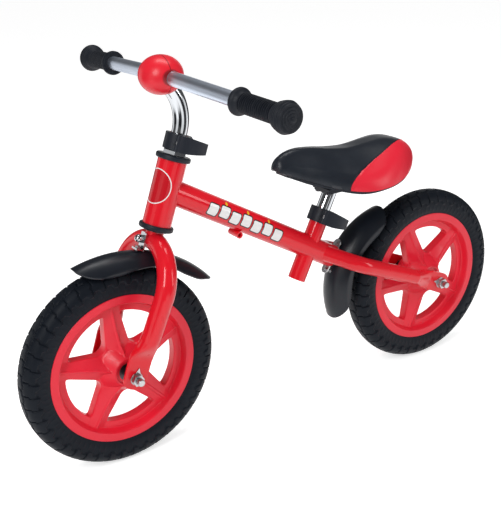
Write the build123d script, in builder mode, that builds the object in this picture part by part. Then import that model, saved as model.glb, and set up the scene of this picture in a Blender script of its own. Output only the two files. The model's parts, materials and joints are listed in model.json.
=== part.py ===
from build123d import *
import os
from math import atan2, cos, degrees, hypot, pi, radians, sin, sqrt, tan

# Child's balance bike, built as the real one comes apart.
# Millimetres. +X is forward, +Y the rider's left, +Z up.
# The origin is on the ground, midway between the two wheels.

os.makedirs("parts", exist_ok=True)

# ---------------------------------------------------------------- driving sizes
# wheels
wheel_radius = 145
wheelbase = 558
tyre_half_width = 21
lug_count = 44
lug_depth = 2.5
lug_gap = 3.2
shoulder_lug_inner = 9
centre_lug_half = 6.6
rim_edge_radius = 109
rim_half_width = 19
tyre_seat_radius = 103
flange_thickness = 3
rim_step_radius = 94
web_half_thickness = 5
web_ring_half = 8
window_outer_radius = 80
window_outer_angle = 27
window_inner_radius = 38
window_inner_angle = 8
window_corner = 6
spoke_count = 5
spoke_rib_width = 6
spoke_rib_half = 13
hub_half_width = 30
hub_wall = 3
hub_cone_radius = 38
hub_recess_radius = 17.5
hub_recess_depth = 3
front_wheel_turn = 12
rear_wheel_turn = -3

# axles
axle_radius = 5
axle_half_length = 69
bearing_radius = 13
bearing_width = 8
nut_across_flats = 15
nut_height = 6.5
washer_radius = 9
washer_thickness = 1.5
washer_tab_reach = 13
spacer_radius = 8

# steering
steering_rake = 19.4
fork_offset = 4.5
leg_spread = 50
leg_radius = 13.5
tube_wall = 2
dropout_thickness = 5
front_dropout_width = 30
dropout_taper = 36
front_plate_top = 26
front_plate_drop = 16
crown_height = 181.5
head_bottom = 204.5
head_length = 90
head_radius = 20
head_wall = 3
cup_radius = 24
cup_height = 7.3
cup_floor = 1.6
cup_edge = 2.4
headset_bearing_radius = 17.5
steerer_radius = 12.7
race_thickness = 1.5
race_radius = 17
locknut_flats = 30
locknut_height = 6.3

# handlebar
stem_radius = 11.1
stem_wall = 1.6
stem_insert = 105
stem_bend_radius = 66
stem_bend_angle = 54
stem_top_run = 26
bar_radius = 9.5
bar_wall = 1.5
bar_reach = 260
bar_sweep = 4.3
bar_droop = 3
bar_bend_radius = 60
ball_radius = 30
ball_half_height = 26
ball_wall = 2.6
grip_start = bar_reach - 93
grip_radius = 11.8
grip_flange_radius = 17
grip_flange_thickness = 6
grip_body_end = bar_reach - 22
knob_radius = 19.5
knob_length = 24
grip_end_cap = 4

# frame
main_joint_height = 254
main_angle = 30
main_radius = 17.5
seat_before_strap = 52
seat_rake = 26.5
seat_tube_radius = 13.5
seat_tube_below = 53
seat_tube_above = 62
stay_radius = 12.5
stay_before_strap = 29
stay_start_spread = 4
stay_bend_forward = 167
stay_bend_radius = 40
rear_dropout_width = 32
rear_plate_back = 18
rear_plate_front = 24
boss_distance = 138
boss_radius = 5
boss_bore = 3.2
boss_half_length = 12
boss_sink = 1.2

# seat
post_radius = 11.1
post_wall = 1.6
post_below = 42
plate_rise = 86.4
saddle_base_thickness = 4
saddle_screw_radius = 2.5

# quick-release clamps
collar_height = 22
collar_wall = 5.3
collar_slit = 2
lug_half_length = 6.5
lug_reach = 8
clamp_bolt_radius = 2
clamp_pin_radius = 2.5
cam_radius = 4.8
blade_thickness = 4
blade_tail = 41
blade_tail_height = 15
blade_bow = 4
clamp_nut_radius = 4
clamp_nut_height = 3.5

# mudguards
guard_wall = 3
front_guard_radius = 194
front_guard_drop = 30
front_guard_lean = 85
front_guard_from = 72.5
front_guard_to = 139.5
front_guard_half_width = 27
front_guard_depth = 25
front_lobe_share = 0.97
back_lobe_share = 0.74
rear_guard_radius = 127
rear_guard_ahead = 74
rear_guard_up = 5
rear_guard_below = 53.5
rear_guard_above = 50
rear_guard_half_width = 29
rear_guard_depth = 25
guard_bolt_radius = 2
guard_bolt_flats = 7
guard_pad_radius = 6
bracket_thickness = 2.5
bracket_width = 14
bracket_drop = 15.4
crown_bolt_radius = 3
bolt_head_flats = 10
bolt_head_height = 4

# clearances
running_fit = 0.06
seat_fit = 0.05
bolt_fit = 0.1
bolt_room = 0.8
face_gap = 0.2

# ---------------------------------------------------------------- planes
rake = radians(steering_rake)
front_centre = Vector(wheelbase / 2, 0, wheel_radius)
rear_centre = Vector(-wheelbase / 2, 0, wheel_radius)
steer_forward = Vector(cos(rake), 0, sin(rake))
steer_up = Vector(-sin(rake), 0, cos(rake))
steer_foot = front_centre - steer_forward * fork_offset
# local x points forward, local y to the left, local z up the steering axis
steer = Plane(origin=steer_foot, x_dir=steer_forward, z_dir=steer_up)
# the same place, seen from the front: x to the left, y up the steering axis
fork_face = Plane(origin=steer_foot, x_dir=(0, 1, 0), z_dir=steer_forward)
# and from the side: x forward, y up the steering axis
steer_side = Plane(origin=steer_foot, x_dir=steer_forward, z_dir=(0, -1, 0))

head_top = head_bottom + head_length
slope = radians(main_angle)
main_joint = steer_foot + steer_up * main_joint_height
main_back = Vector(-cos(slope), 0, -sin(slope))
main_down = Vector(sin(slope), 0, -cos(slope))
main_axis = Plane(origin=main_joint, x_dir=(0, 1, 0), z_dir=main_back)

# the rear mudguard's arch has its own centre, ahead of the rear hub, and its strap crosses the
# main tube's axis
rear_guard_centre = rear_centre + Vector(rear_guard_ahead, 0, rear_guard_up)
strap_in = rear_guard_radius + 3
strap_out = strap_in + bracket_thickness
centre_line = rear_guard_centre - main_joint
centre_along = centre_line.dot(main_back)
centre_off = sqrt(centre_line.dot(centre_line) - centre_along ** 2)
strap_distance = centre_along - sqrt(strap_in ** 2 - centre_off ** 2)
guard_out = (main_joint + main_back * strap_distance - rear_guard_centre).normalized()
guard_side = Plane(origin=rear_guard_centre, x_dir=guard_out, z_dir=(0, -1, 0))
guard_way_angle = degrees(atan2(guard_out.Z, guard_out.X))
rear_guard_from = guard_way_angle - rear_guard_below
rear_guard_to = guard_way_angle + rear_guard_above

seat_lean = radians(seat_rake)
seat_joint = main_joint + main_back * (strap_distance - seat_before_strap)
seat_forward = Vector(cos(seat_lean), 0, sin(seat_lean))
seat_up = Vector(-sin(seat_lean), 0, cos(seat_lean))
seat_axis = Plane(origin=seat_joint, x_dir=seat_forward, z_dir=seat_up)


def save(made, name):
    made.label = name
    export_step(made, f"parts/{name}.step")


def pipe(plane, start, end, outer, inner):
    """A straight tube along the plane's normal, from start to end."""
    with BuildPart() as made:
        with BuildSketch(plane.offset(start)):
            Circle(outer)
            Circle(inner, mode=Mode.SUBTRACT)
        extrude(amount=end - start)
    return made.part


def rod(plane, start, end, radius):
    """A straight solid bar along the plane's normal, from start to end."""
    with BuildPart() as made:
        with BuildSketch(plane.offset(start)):
            Circle(radius)
        extrude(amount=end - start)
    return made.part


def hexagon(plane, start, end, flats, bore):
    """A hexagonal nut or bolt head along the plane's normal."""
    with BuildPart() as made:
        with BuildSketch(plane.offset(start)):
            RegularPolygon(flats / 2, 6, major_radius=False)
            if bore > 0:
                Circle(bore, mode=Mode.SUBTRACT)
        extrude(amount=end - start)
    return made.part


# ---------------------------------------------------------------- wheels
bearing_out = hub_half_width - hub_recess_depth
bearing_in = bearing_out - bearing_width
hub_neck_radius = hub_recess_radius + hub_wall
axle_way = axle_radius + 1.5
flange_in = rim_half_width - flange_thickness

# upper half of the rim's section, as radius and half width, hub bore first
rim_half = [
    (axle_way, bearing_in),
    (bearing_radius + seat_fit, bearing_in),
    (bearing_radius + seat_fit, bearing_out),
    (hub_recess_radius, bearing_out),
    (hub_recess_radius, hub_half_width),
    (hub_neck_radius, hub_half_width),
    (hub_cone_radius, web_ring_half),
    (hub_cone_radius + 4, web_half_thickness),
    (window_outer_radius - 2, web_half_thickness),
    (window_outer_radius, web_ring_half),
    (rim_step_radius - 2, web_ring_half),
    (rim_step_radius, rim_half_width),
    (rim_edge_radius, rim_half_width),
    (rim_edge_radius, flange_in),
    (tyre_seat_radius, flange_in),
]
rim_section = rim_half + [(r, -y) for r, y in reversed(rim_half)]


def window_outline():
    """A spoke window: an arc outside, straight sides that close towards the hub."""
    wide = radians(window_outer_angle)
    narrow = radians(window_inner_angle)
    outer_x, outer_y = window_outer_radius * cos(wide), window_outer_radius * sin(wide)
    inner_x, inner_y = window_inner_radius * cos(narrow), window_inner_radius * sin(narrow)
    with BuildSketch() as made:
        with BuildLine():
            ThreePointArc((outer_x, -outer_y), (window_outer_radius, 0), (outer_x, outer_y))
            Polyline((outer_x, outer_y), (inner_x, inner_y), (inner_x, -inner_y), (outer_x, -outer_y))
        make_face()
        corners = made.vertices().sort_by(Axis.X)
        fillet(corners[2:], window_corner)
        fillet(made.vertices().sort_by(Axis.X)[:2], window_corner - 2)
    return made.sketch


def make_rim(centre, turn):
    face = Plane(origin=centre, x_dir=(cos(radians(turn)), 0, sin(radians(turn))), z_dir=(0, -1, 0))
    pitch = 360 / spoke_count
    with BuildPart() as made:
        with BuildSketch(Plane(origin=centre)):
            with BuildLine():
                Polyline(*rim_section, close=True)
            make_face()
        revolve(axis=Axis(centre, (0, 1, 0)))
        with BuildSketch(face.offset(-rim_half_width)):
            with PolarLocations(0, spoke_count, start_angle=pitch / 2):
                add(window_outline())
        extrude(amount=2 * rim_half_width, mode=Mode.SUBTRACT)
        for k in range(spoke_count):
            angle = radians(turn + k * pitch)
            out = Vector(cos(angle), 0, sin(angle))
            rib = Plane(origin=centre, x_dir=out, z_dir=out.cross(Vector(0, 1, 0)))
            with BuildSketch(rib.offset(-spoke_rib_width / 2)):
                with BuildLine():
                    Polyline(
                        (hub_neck_radius - 1, hub_half_width - 2),
                        (hub_cone_radius, spoke_rib_half + 3),
                        (rim_step_radius - 1, spoke_rib_half),
                        (rim_step_radius - 1, -spoke_rib_half),
                        (hub_cone_radius, -spoke_rib_half - 3),
                        (hub_neck_radius - 1, -hub_half_width + 2),
                        close=True,
                    )
                make_face()
            extrude(amount=spoke_rib_width)
    return made.part


def lug_ring(start, end, tip, floor, first):
    """One row of lugs: a band across the tread, parted by square grooves that reach into the tyre's body."""
    side = Plane(origin=(0, 0, 0), x_dir=(1, 0, 0), z_dir=(0, -1, 0))
    with BuildPart() as made:
        with BuildSketch(side.offset(start)):
            Circle(tip)
            Circle(floor - 4, mode=Mode.SUBTRACT)
            with PolarLocations(tip, lug_count, start_angle=first):
                Rectangle(2 * (tip - floor + 1.5), lug_gap, mode=Mode.SUBTRACT)
        extrude(amount=end - start)
    return made.part


def make_tread():
    """The tyre at the origin: a row of lugs on each shoulder, and one along the middle half a pitch on."""
    pitch = 360 / lug_count
    floor = wheel_radius - lug_depth
    shoulder_floor = floor - lug_depth / 2
    shoulder_tip = wheel_radius - lug_depth / 2
    lug_end = tyre_half_width - lug_depth - 1
    # half of the body's section, as radius and half width, from the rim's seat out to the tread
    body_half = [
        (tyre_seat_radius + seat_fit, flange_in - seat_fit),
        (rim_edge_radius + 0.5, flange_in - seat_fit),
        (rim_edge_radius + 0.5, rim_half_width + 0.5),
        (rim_edge_radius + 4, tyre_half_width - 0.4),
        (rim_edge_radius + 13, tyre_half_width),
        (wheel_radius - 15, tyre_half_width - 0.5),
        (wheel_radius - 8, tyre_half_width - 1.9),
        (shoulder_floor, lug_end - 0.6),
        (shoulder_floor, shoulder_lug_inner - 1),
        (floor, shoulder_lug_inner - 2),
    ]
    with BuildPart() as made:
        with BuildSketch(Plane.XY):
            with BuildLine():
                Polyline(*body_half, *[(r, -y) for r, y in reversed(body_half)], close=True)
            make_face()
        revolve(axis=Axis.Y)
        add(lug_ring(-centre_lug_half, centre_lug_half, wheel_radius, floor, pitch / 2))
        add(lug_ring(-lug_end, -shoulder_lug_inner, shoulder_tip, shoulder_floor, 0))
        add(lug_ring(shoulder_lug_inner, lug_end, shoulder_tip, shoulder_floor, 0))
    return made.part


def both_sides(centre, shape):
    """The shape and its mirror image on the other side of the bike's middle plane."""
    with BuildPart() as made:
        add(shape)
        mirror(about=Plane(origin=centre, x_dir=(1, 0, 0), z_dir=(0, 1, 0)))
    return made.part


dropout_in = leg_spread - dropout_thickness / 2
dropout_out = leg_spread + dropout_thickness / 2
nut_in = dropout_out + washer_thickness
nut_out = nut_in + nut_height


def make_bearings(centre):
    side = Plane(origin=centre, x_dir=(1, 0, 0), z_dir=(0, 1, 0))
    ring = pipe(side, bearing_in, bearing_out - seat_fit, bearing_radius, axle_radius + running_fit)
    return both_sides(centre, ring)


def make_spacers(centre):
    side = Plane(origin=centre, x_dir=(1, 0, 0), z_dir=(0, 1, 0))
    return both_sides(centre, pipe(side, bearing_out + face_gap, dropout_in, spacer_radius, axle_radius + seat_fit))


def make_nuts(centre):
    side = Plane(origin=centre, x_dir=(1, 0, 0), z_dir=(0, 1, 0))
    return both_sides(centre, hexagon(side, nut_in, nut_out, nut_across_flats, axle_radius + seat_fit))


def make_axle(centre):
    side = Plane(origin=centre, x_dir=(1, 0, 0), z_dir=(0, 1, 0))
    with BuildPart() as made:
        add(rod(side, -axle_half_length, axle_half_length, axle_radius))
        chamfer(made.edges().group_by(Axis.Y)[0] + made.edges().group_by(Axis.Y)[-1], 0.8)
    return made.part


def make_washers(centre, tab_way):
    """Keeper washers: round, with one pointed tab that lies along the blade."""
    side = Plane(origin=centre + Vector(0, dropout_out, 0), x_dir=tab_way, z_dir=(0, 1, 0))
    half = washer_radius * 0.8
    with BuildPart() as made:
        with BuildSketch(side):
            Circle(washer_radius)
            with BuildLine():
                Polyline((0, half), (washer_tab_reach + 3, 0), (0, -half), close=True)
            make_face()
            Circle(axle_radius + seat_fit, mode=Mode.SUBTRACT)
        extrude(amount=washer_thickness)
    return both_sides(centre, made.part)


stay_start = main_joint + main_back * (strap_distance - stay_before_strap)
stay_way = (stay_start - rear_centre).normalized()
tread = make_tread()

for end, centre, turn, tab_way in (
    ("front", front_centre, front_wheel_turn, steer_up),
    ("rear", rear_centre, rear_wheel_turn, stay_way),
):
    save(make_rim(centre, turn), f"{end}_rim")
    save(Location(centre) * tread, f"{end}_tyre")
    save(make_bearings(centre), f"{end}_wheel_bearings")
    save(make_axle(centre), f"{end}_axle")
    save(make_spacers(centre), f"{end}_axle_spacers")
    save(make_washers(centre, tab_way), f"{end}_keeper_washers")
    save(make_nuts(centre), f"{end}_axle_nuts")


# ---------------------------------------------------------------- flattened tube ends
def blade_end(top, tube_radius, width, taper, plate_length, hole_at, hole_across):
    """A tube pressed flat: round at the top plane, then a plate with the axle's hole.

    Local z runs down the tube, local x across the plate, local y through it.
    """
    flat = Plane(origin=top.origin - top.y_dir * dropout_thickness / 2, x_dir=top.x_dir, z_dir=top.y_dir)
    down = -1 if flat.y_dir.dot(top.z_dir) < 0 else 1
    straight = plate_length - width / 2
    with BuildPart() as made:
        with BuildSketch(top):
            Circle(tube_radius)
        with BuildSketch(top.offset(taper)):
            SlotOverall(width, dropout_thickness)
        loft()
        with BuildSketch(flat):
            with Locations((0, down * (taper + straight / 2))):
                Rectangle(width, straight)
            with Locations((0, down * (taper + straight))):
                Circle(width / 2)
        extrude(amount=dropout_thickness)
        with BuildSketch(flat):
            with Locations((hole_across, down * hole_at)):
                Circle(axle_radius + bolt_fit)
        extrude(amount=dropout_thickness, mode=Mode.SUBTRACT)
    return made.part


# ---------------------------------------------------------------- fork
leg_top = front_plate_top + dropout_taper
arch_spring = crown_height - leg_spread

with BuildPart() as fork_blades:
    with BuildLine(fork_face) as arch:
        left_leg = Line((leg_spread, leg_top), (leg_spread, arch_spring))
        over = ThreePointArc((leg_spread, arch_spring), (0, crown_height), (-leg_spread, arch_spring))
        Line((-leg_spread, arch_spring), (-leg_spread, leg_top))
    with BuildSketch(Plane(origin=left_leg @ 0, z_dir=left_leg % 0)):
        Circle(leg_radius)
        Circle(leg_radius - tube_wall, mode=Mode.SUBTRACT)
    sweep(path=arch.line)
    for side in (1, -1):
        foot = steer_foot + steer_up * leg_top + Vector(0, side * leg_spread, 0)
        down = Plane(origin=foot, x_dir=steer_forward, z_dir=-steer_up)
        plate_length = front_plate_top + front_plate_drop
        add(blade_end(down, leg_radius, front_dropout_width, dropout_taper, plate_length, leg_top, fork_offset))
    crown_bolt_way = Plane(origin=steer_foot + steer_up * crown_height, x_dir=(0, 1, 0), z_dir=steer_forward)
    with BuildSketch(crown_bolt_way.offset(-2 * leg_radius)):
        Circle(crown_bolt_radius + bolt_fit)
    extrude(amount=4 * leg_radius, mode=Mode.SUBTRACT)
save(fork_blades.part, "fork_blades")

arch_top = crown_height + leg_radius
cup_bottom = head_bottom - cup_height
cup_top = head_top + cup_height
locknut_bottom = cup_top + face_gap
locknut_top = locknut_bottom + locknut_height
stem_collar_bottom = locknut_top + face_gap
steerer_top = stem_collar_bottom + collar_height - 0.5
steerer_bore = stem_radius + running_fit

with BuildPart() as steerer_tube:
    add(pipe(steer, crown_height + crown_bolt_radius + 2, steerer_top, steerer_radius, steerer_bore))
    with BuildLine(fork_face) as crown_line:
        ThreePointArc((leg_spread, arch_spring), (0, crown_height), (-leg_spread, arch_spring))
    with BuildSketch(Plane(origin=crown_line.line @ 0, z_dir=crown_line.line % 0)):
        Circle(leg_radius)
    sweep(path=crown_line.line, mode=Mode.SUBTRACT)
    with BuildSketch(steer_side.offset(-2 * steerer_radius)):
        with Locations((0, steerer_top)):
            Rectangle(collar_slit, 2 * collar_height)
    extrude(amount=2 * steerer_radius, mode=Mode.SUBTRACT)
save(steerer_tube.part, "steerer_tube")

race_bottom = cup_bottom - face_gap - race_thickness
with BuildPart() as crown_race:
    add(pipe(steer, race_bottom, race_bottom + race_thickness, race_radius, steerer_radius + seat_fit))
save(crown_race.part, "crown_race")

with BuildPart() as headset_locknut:
    add(hexagon(steer, locknut_bottom, locknut_top, locknut_flats, steerer_radius + seat_fit))
    chamfer(headset_locknut.edges().filter_by(GeomType.LINE).sort_by(Axis(steer_foot, steer_up))[-6:], 1)
save(headset_locknut.part, "headset_locknut")


# ---------------------------------------------------------------- headset
def make_cup(plane):
    """A headset cup: flat floor on the head tube, pocket for the bearing, rounded lip."""
    pocket = headset_bearing_radius + seat_fit
    with BuildPart() as made:
        add(rod(plane, 0, cup_height, cup_radius))
        fillet(made.edges().filter_by(GeomType.CIRCLE), cup_edge)
        add(rod(plane, -1, cup_height + 1, steerer_radius + 1.2), mode=Mode.SUBTRACT)
        add(rod(plane, cup_floor, cup_height + 1, pocket), mode=Mode.SUBTRACT)
    return made.part


upper_seat = steer.offset(head_top)
lower_seat = Plane(origin=steer_foot + steer_up * head_bottom, x_dir=steer_forward, z_dir=-steer_up)
for name, plane in (("upper", upper_seat), ("lower", lower_seat)):
    save(make_cup(plane), f"{name}_headset_cup")
    ring = pipe(plane, cup_floor, cup_height, headset_bearing_radius, steerer_radius + running_fit)
    save(ring, f"{name}_headset_bearing")


# ---------------------------------------------------------------- quick-release clamps
def clamp_parts(plane, tube_radius, name):
    """Collar, bolt with its cross pin, nut and cam lever, on a tube whose top is slit.

    Local x is forward, y the rider's left, z up the tube; the collar stands on the plane.
    """
    collar_radius = tube_radius + collar_wall
    middle = collar_height / 2
    lug_top = collar_radius + lug_reach
    bolt_y = collar_radius + lug_reach / 2
    pin_x = lug_half_length + cam_radius + face_gap
    across = Plane(origin=plane.from_local_coords(Vector(0, bolt_y, middle)), x_dir=plane.y_dir, z_dir=plane.x_dir)
    pin_line = Plane(origin=plane.from_local_coords(Vector(pin_x, bolt_y, 0)), x_dir=plane.x_dir, z_dir=plane.z_dir)

    with BuildPart() as collar:
        with BuildSketch(plane):
            Circle(collar_radius)
            with Locations((0, lug_top / 2)):
                Rectangle(2 * lug_half_length, lug_top)
            Circle(tube_radius + seat_fit, mode=Mode.SUBTRACT)
            with Locations((0, lug_top)):
                Rectangle(collar_slit, 2 * lug_top, mode=Mode.SUBTRACT)
        extrude(amount=collar_height)
        add(rod(across, -2 * lug_half_length, 2 * lug_half_length, clamp_bolt_radius + bolt_fit), mode=Mode.SUBTRACT)
    save(collar.part, f"{name}_collar")

    with BuildPart() as bolt:
        add(rod(pin_line, 0.6, collar_height - 0.6, clamp_pin_radius))
        add(rod(across, -lug_half_length - clamp_nut_height - 1.5, pin_x, clamp_bolt_radius))
    save(bolt.part, f"{name}_bolt")

    nut_far = -lug_half_length - face_gap
    nut = hexagon(across, nut_far - clamp_nut_height, nut_far, 2 * clamp_nut_radius, clamp_bolt_radius + seat_fit)
    save(nut, f"{name}_nut")

    blade_in = lug_top + 0.8
    blade_out = blade_in + blade_thickness
    tail_x = pin_x - blade_tail
    with BuildPart() as lever:
        with BuildSketch(plane):
            with BuildLine():
                inner = ThreePointArc(
                    (pin_x + cam_radius / 2, bolt_y + 1), (0, blade_in + blade_bow / 2), (tail_x, blade_in + 1)
                )
                tip = Line(inner @ 1, (tail_x, blade_out))
                outer = ThreePointArc(tip @ 1, (0, blade_out + blade_bow / 2), (pin_x + cam_radius, bolt_y))
                Line(outer @ 1, inner @ 0)
            make_face()
            with Locations((pin_x, bolt_y)):
                Circle(cam_radius)
        extrude(amount=collar_height)
        with BuildSketch(plane.offset(middle - clamp_bolt_radius - 0.4)):
            with Locations((pin_x, bolt_y - cam_radius + clamp_bolt_radius / 2 + 0.6)):
                Rectangle(4 * cam_radius, 2 * cam_radius + clamp_bolt_radius + 1.2)
        extrude(amount=2 * clamp_bolt_radius + 0.8, mode=Mode.SUBTRACT)
        add(rod(pin_line, -1, collar_height + 1, clamp_pin_radius + running_fit), mode=Mode.SUBTRACT)
        side = Plane(origin=plane.origin, x_dir=plane.x_dir, z_dir=-plane.y_dir)
        drop = collar_height - blade_tail_height
        with BuildSketch(side.offset(-2 * blade_out)):
            with BuildLine():
                corner = collar_height - drop / 2
                Polyline((tail_x - 1, collar_height + 1), (tail_x - 1, corner), (tail_x, corner),
                         (0, collar_height), (0, collar_height + 1), close=True)
            make_face()
            with BuildLine():
                Polyline((tail_x - 1, -1), (tail_x - 1, drop / 2), (tail_x, drop / 2), (0, 0), (0, -1), close=True)
            make_face()
        extrude(amount=2 * blade_out, mode=Mode.SUBTRACT)
    save(lever.part, f"{name}_lever")
    return plane.from_local_coords(Vector(pin_x, bolt_y, middle))


stem_pin = clamp_parts(steer.offset(stem_collar_bottom), steerer_radius, "stem_clamp")
seat_collar_bottom = seat_tube_above - collar_height + 0.5
seat_pin = clamp_parts(seat_axis.offset(seat_collar_bottom), seat_tube_radius, "seat_clamp")


# ---------------------------------------------------------------- frame tubes
with BuildPart() as head_tube:
    add(pipe(steer, head_bottom, head_top, head_radius, head_radius - head_wall))
save(head_tube.part, "head_tube")

# the back end of the main tube is cut off along the mudguard's strap
main_length = strap_distance + main_radius
with BuildPart() as main_tube:
    add(pipe(main_axis, 0, main_length, main_radius, main_radius - tube_wall))
    add(rod(steer, head_bottom, head_top, head_radius), mode=Mode.SUBTRACT)
    with BuildSketch(fork_face.offset(0)):
        with Locations((0, main_joint_height)):
            Rectangle(4 * main_radius, 4 * main_radius)
    extrude(amount=2 * head_radius, mode=Mode.SUBTRACT)
    add(rod(seat_axis, -seat_tube_below, seat_tube_above, seat_tube_radius), mode=Mode.SUBTRACT)
    with BuildSketch(guard_side.offset(-2 * main_radius)):
        with Locations((strap_out / 2, 0)):
            Rectangle(strap_out, 2 * wheel_radius)
    extrude(amount=4 * main_radius, mode=Mode.SUBTRACT)
save(main_tube.part, "main_tube")

seat_bore = post_radius + running_fit
with BuildPart() as seat_tube:
    add(pipe(seat_axis, -seat_tube_below, seat_tube_above, seat_tube_radius, seat_bore))
    slit = Plane(origin=seat_joint, x_dir=seat_forward, z_dir=(0, -1, 0))
    with BuildSketch(slit.offset(-2 * seat_tube_radius)):
        with Locations((0, seat_tube_above)):
            Rectangle(collar_slit, 2 * collar_height)
    extrude(amount=2 * seat_tube_radius, mode=Mode.SUBTRACT)
save(seat_tube.part, "seat_tube")

for side, name in ((1, "left_stay"), (-1, "right_stay")):
    start = stay_start + Vector(0, side * stay_start_spread, 0)
    foot = rear_centre + Vector(0, side * leg_spread, 0)
    round_end = foot + stay_way * (rear_plate_front + dropout_taper)
    bend = foot + stay_way * stay_bend_forward / stay_way.X
    with BuildPart() as stay:
        with BuildLine() as route:
            FilletPolyline(start, bend, round_end, radius=stay_bend_radius)
        with BuildSketch(Plane(origin=route.line @ 0, z_dir=route.line % 0)):
            Circle(stay_radius)
            Circle(stay_radius - tube_wall, mode=Mode.SUBTRACT)
        sweep(path=route.line)
        add(rod(main_axis, 0, 2 * main_length, main_radius), mode=Mode.SUBTRACT)
        back = Plane(origin=round_end, x_dir=stay_way.cross(Vector(0, 1, 0)), z_dir=-stay_way)
        plate_length = rear_plate_front + rear_plate_back
        hole_at = rear_plate_front + dropout_taper
        add(blade_end(back, stay_radius, rear_dropout_width, dropout_taper, plate_length, hole_at, 0))
    save(stay.part, name)

boss_centre = main_joint + main_back * boss_distance + main_down * (main_radius + boss_radius - boss_sink)
boss_line = Plane(origin=boss_centre, x_dir=(1, 0, 0), z_dir=(0, 1, 0))
with BuildPart() as cross_boss:
    add(pipe(boss_line, -boss_half_length, boss_half_length, boss_radius, boss_bore))
    add(rod(main_axis, 0, main_length, main_radius), mode=Mode.SUBTRACT)
save(cross_boss.part, "cross_boss")


# ---------------------------------------------------------------- mudguards
def guard_arch(centre, radius, half_width, depth, begin, end, shrink):
    """A solid arch turned about a line across the bike; shrink gives the room inside the wall."""
    first = radians(begin)
    out = Vector(cos(first), 0, sin(first))
    cut = Plane(origin=centre, x_dir=out, z_dir=out.cross(Vector(0, 1, 0)))
    wide = half_width - shrink
    low = radius - depth - shrink
    knee = radius - depth + (depth - half_width * 0.35) * 0.55
    haunch = knee + (radius - shrink - knee) * 0.78
    with BuildPart() as made:
        with BuildSketch(cut):
            with BuildLine():
                Line((low, -wide), (knee, -wide))
                Spline((knee, -wide), (haunch, -wide / 2), (radius - shrink, 0), (haunch, wide / 2), (knee, wide))
                Polyline((knee, wide), (low, wide), (low, -wide))
            make_face()
        revolve(axis=Axis(centre, (0, -1, 0)), revolution_arc=end - begin)
    return made.part


def leaf(plane, half_length, half_width, height, front_round, back_round):
    """A pointed oval block that trims a mudguard's plan outline."""
    with BuildPart() as made:
        with BuildSketch(plane):
            with BuildLine():
                Spline((half_length, 0), (half_length * 0.55, half_width * front_round), (0, half_width),
                       (-half_length * 0.55, half_width * back_round), (-half_length, 0))
                Spline((-half_length, 0), (-half_length * 0.55, -half_width * back_round), (0, -half_width),
                       (half_length * 0.55, -half_width * front_round), (half_length, 0))
            make_face()
        extrude(amount=height)
    return made.part


lean = radians(front_guard_lean)
front_guard_centre = front_centre - Vector(cos(lean), 0, sin(lean)) * front_guard_drop
front_mid = radians((front_guard_from + front_guard_to) / 2)
front_span = radians(front_guard_to - front_guard_from)
front_out = Vector(cos(front_mid), 0, sin(front_mid))
front_plan = Plane(
    origin=front_guard_centre + front_out * (front_guard_radius - 3 * front_guard_depth),
    x_dir=(sin(front_mid), 0, -cos(front_mid)),
    z_dir=front_out,
)
bracket_foot = crown_height - bracket_drop
bracket_front = leg_radius + face_gap
bolt_ahead = bracket_front + bracket_thickness + guard_bolt_flats / 2 + bolt_room
foot_end = bolt_ahead + guard_bolt_flats / 2 + 1.5
steer_origin_pad = Plane(origin=steer.from_local_coords(Vector(bolt_ahead, 0, 0)), x_dir=steer_forward, z_dir=steer_up)

with BuildPart() as front_mudguard:
    add(guard_arch(front_guard_centre, front_guard_radius, front_guard_half_width, front_guard_depth,
                   front_guard_from, front_guard_to, 0))
    outline = leaf(front_plan, front_guard_radius * sin(front_span / 2) - 1, front_guard_half_width + 0.5,
                   5 * front_guard_depth, front_lobe_share, back_lobe_share)
    add(outline, mode=Mode.INTERSECT)
    add(rod(steer_origin_pad, bracket_foot - 4.5, bracket_foot, guard_pad_radius))
    add(guard_arch(front_guard_centre, front_guard_radius, front_guard_half_width, front_guard_depth,
                   front_guard_from - 5, front_guard_to + 5, guard_wall), mode=Mode.SUBTRACT)
    add(rod(steer_origin_pad, bracket_foot - 20, bracket_foot + 5, guard_bolt_radius + bolt_fit), mode=Mode.SUBTRACT)
save(front_mudguard.part, "front_mudguard")

with BuildPart() as front_guard_bracket:
    with BuildSketch(steer_side.offset(-bracket_width / 2)):
        with BuildLine():
            Polyline(
                (bracket_front, crown_height + 9),
                (bracket_front + bracket_thickness, crown_height + 9),
                (bracket_front + bracket_thickness, bracket_foot + bracket_thickness),
                (foot_end, bracket_foot + bracket_thickness),
                (foot_end, bracket_foot),
                (bracket_front, bracket_foot),
                close=True,
            )
        make_face()
    extrude(amount=bracket_width)
    add(rod(crown_bolt_way, 0, 3 * leg_radius, crown_bolt_radius + bolt_fit), mode=Mode.SUBTRACT)
    add(rod(steer_origin_pad, bracket_foot - 5, bracket_foot + 9, guard_bolt_radius + bolt_fit), mode=Mode.SUBTRACT)
save(front_guard_bracket.part, "front_guard_bracket")

head_in = bracket_front + bracket_thickness
nut_back = -leg_radius - 0.4
pad_low = bracket_foot - 6.6
with BuildPart() as front_guard_bolts:
    add(rod(crown_bolt_way, nut_back - 7, head_in, crown_bolt_radius))
    add(hexagon(crown_bolt_way, head_in, head_in + bolt_head_height, bolt_head_flats, 0))
    small_head = bracket_foot + bracket_thickness
    add(rod(steer_origin_pad, pad_low - 6, small_head, guard_bolt_radius))
    add(hexagon(steer_origin_pad, small_head, small_head + 3, guard_bolt_flats, 0))
save(front_guard_bolts.part, "front_guard_bolts")

with BuildPart() as front_guard_nuts:
    add(hexagon(crown_bolt_way, nut_back - 5, nut_back, bolt_head_flats, crown_bolt_radius + seat_fit))
    add(hexagon(steer_origin_pad, pad_low - 4.2, pad_low - 0.2, guard_bolt_flats, guard_bolt_radius + seat_fit))
save(front_guard_nuts.part, "front_guard_nuts")

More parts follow.
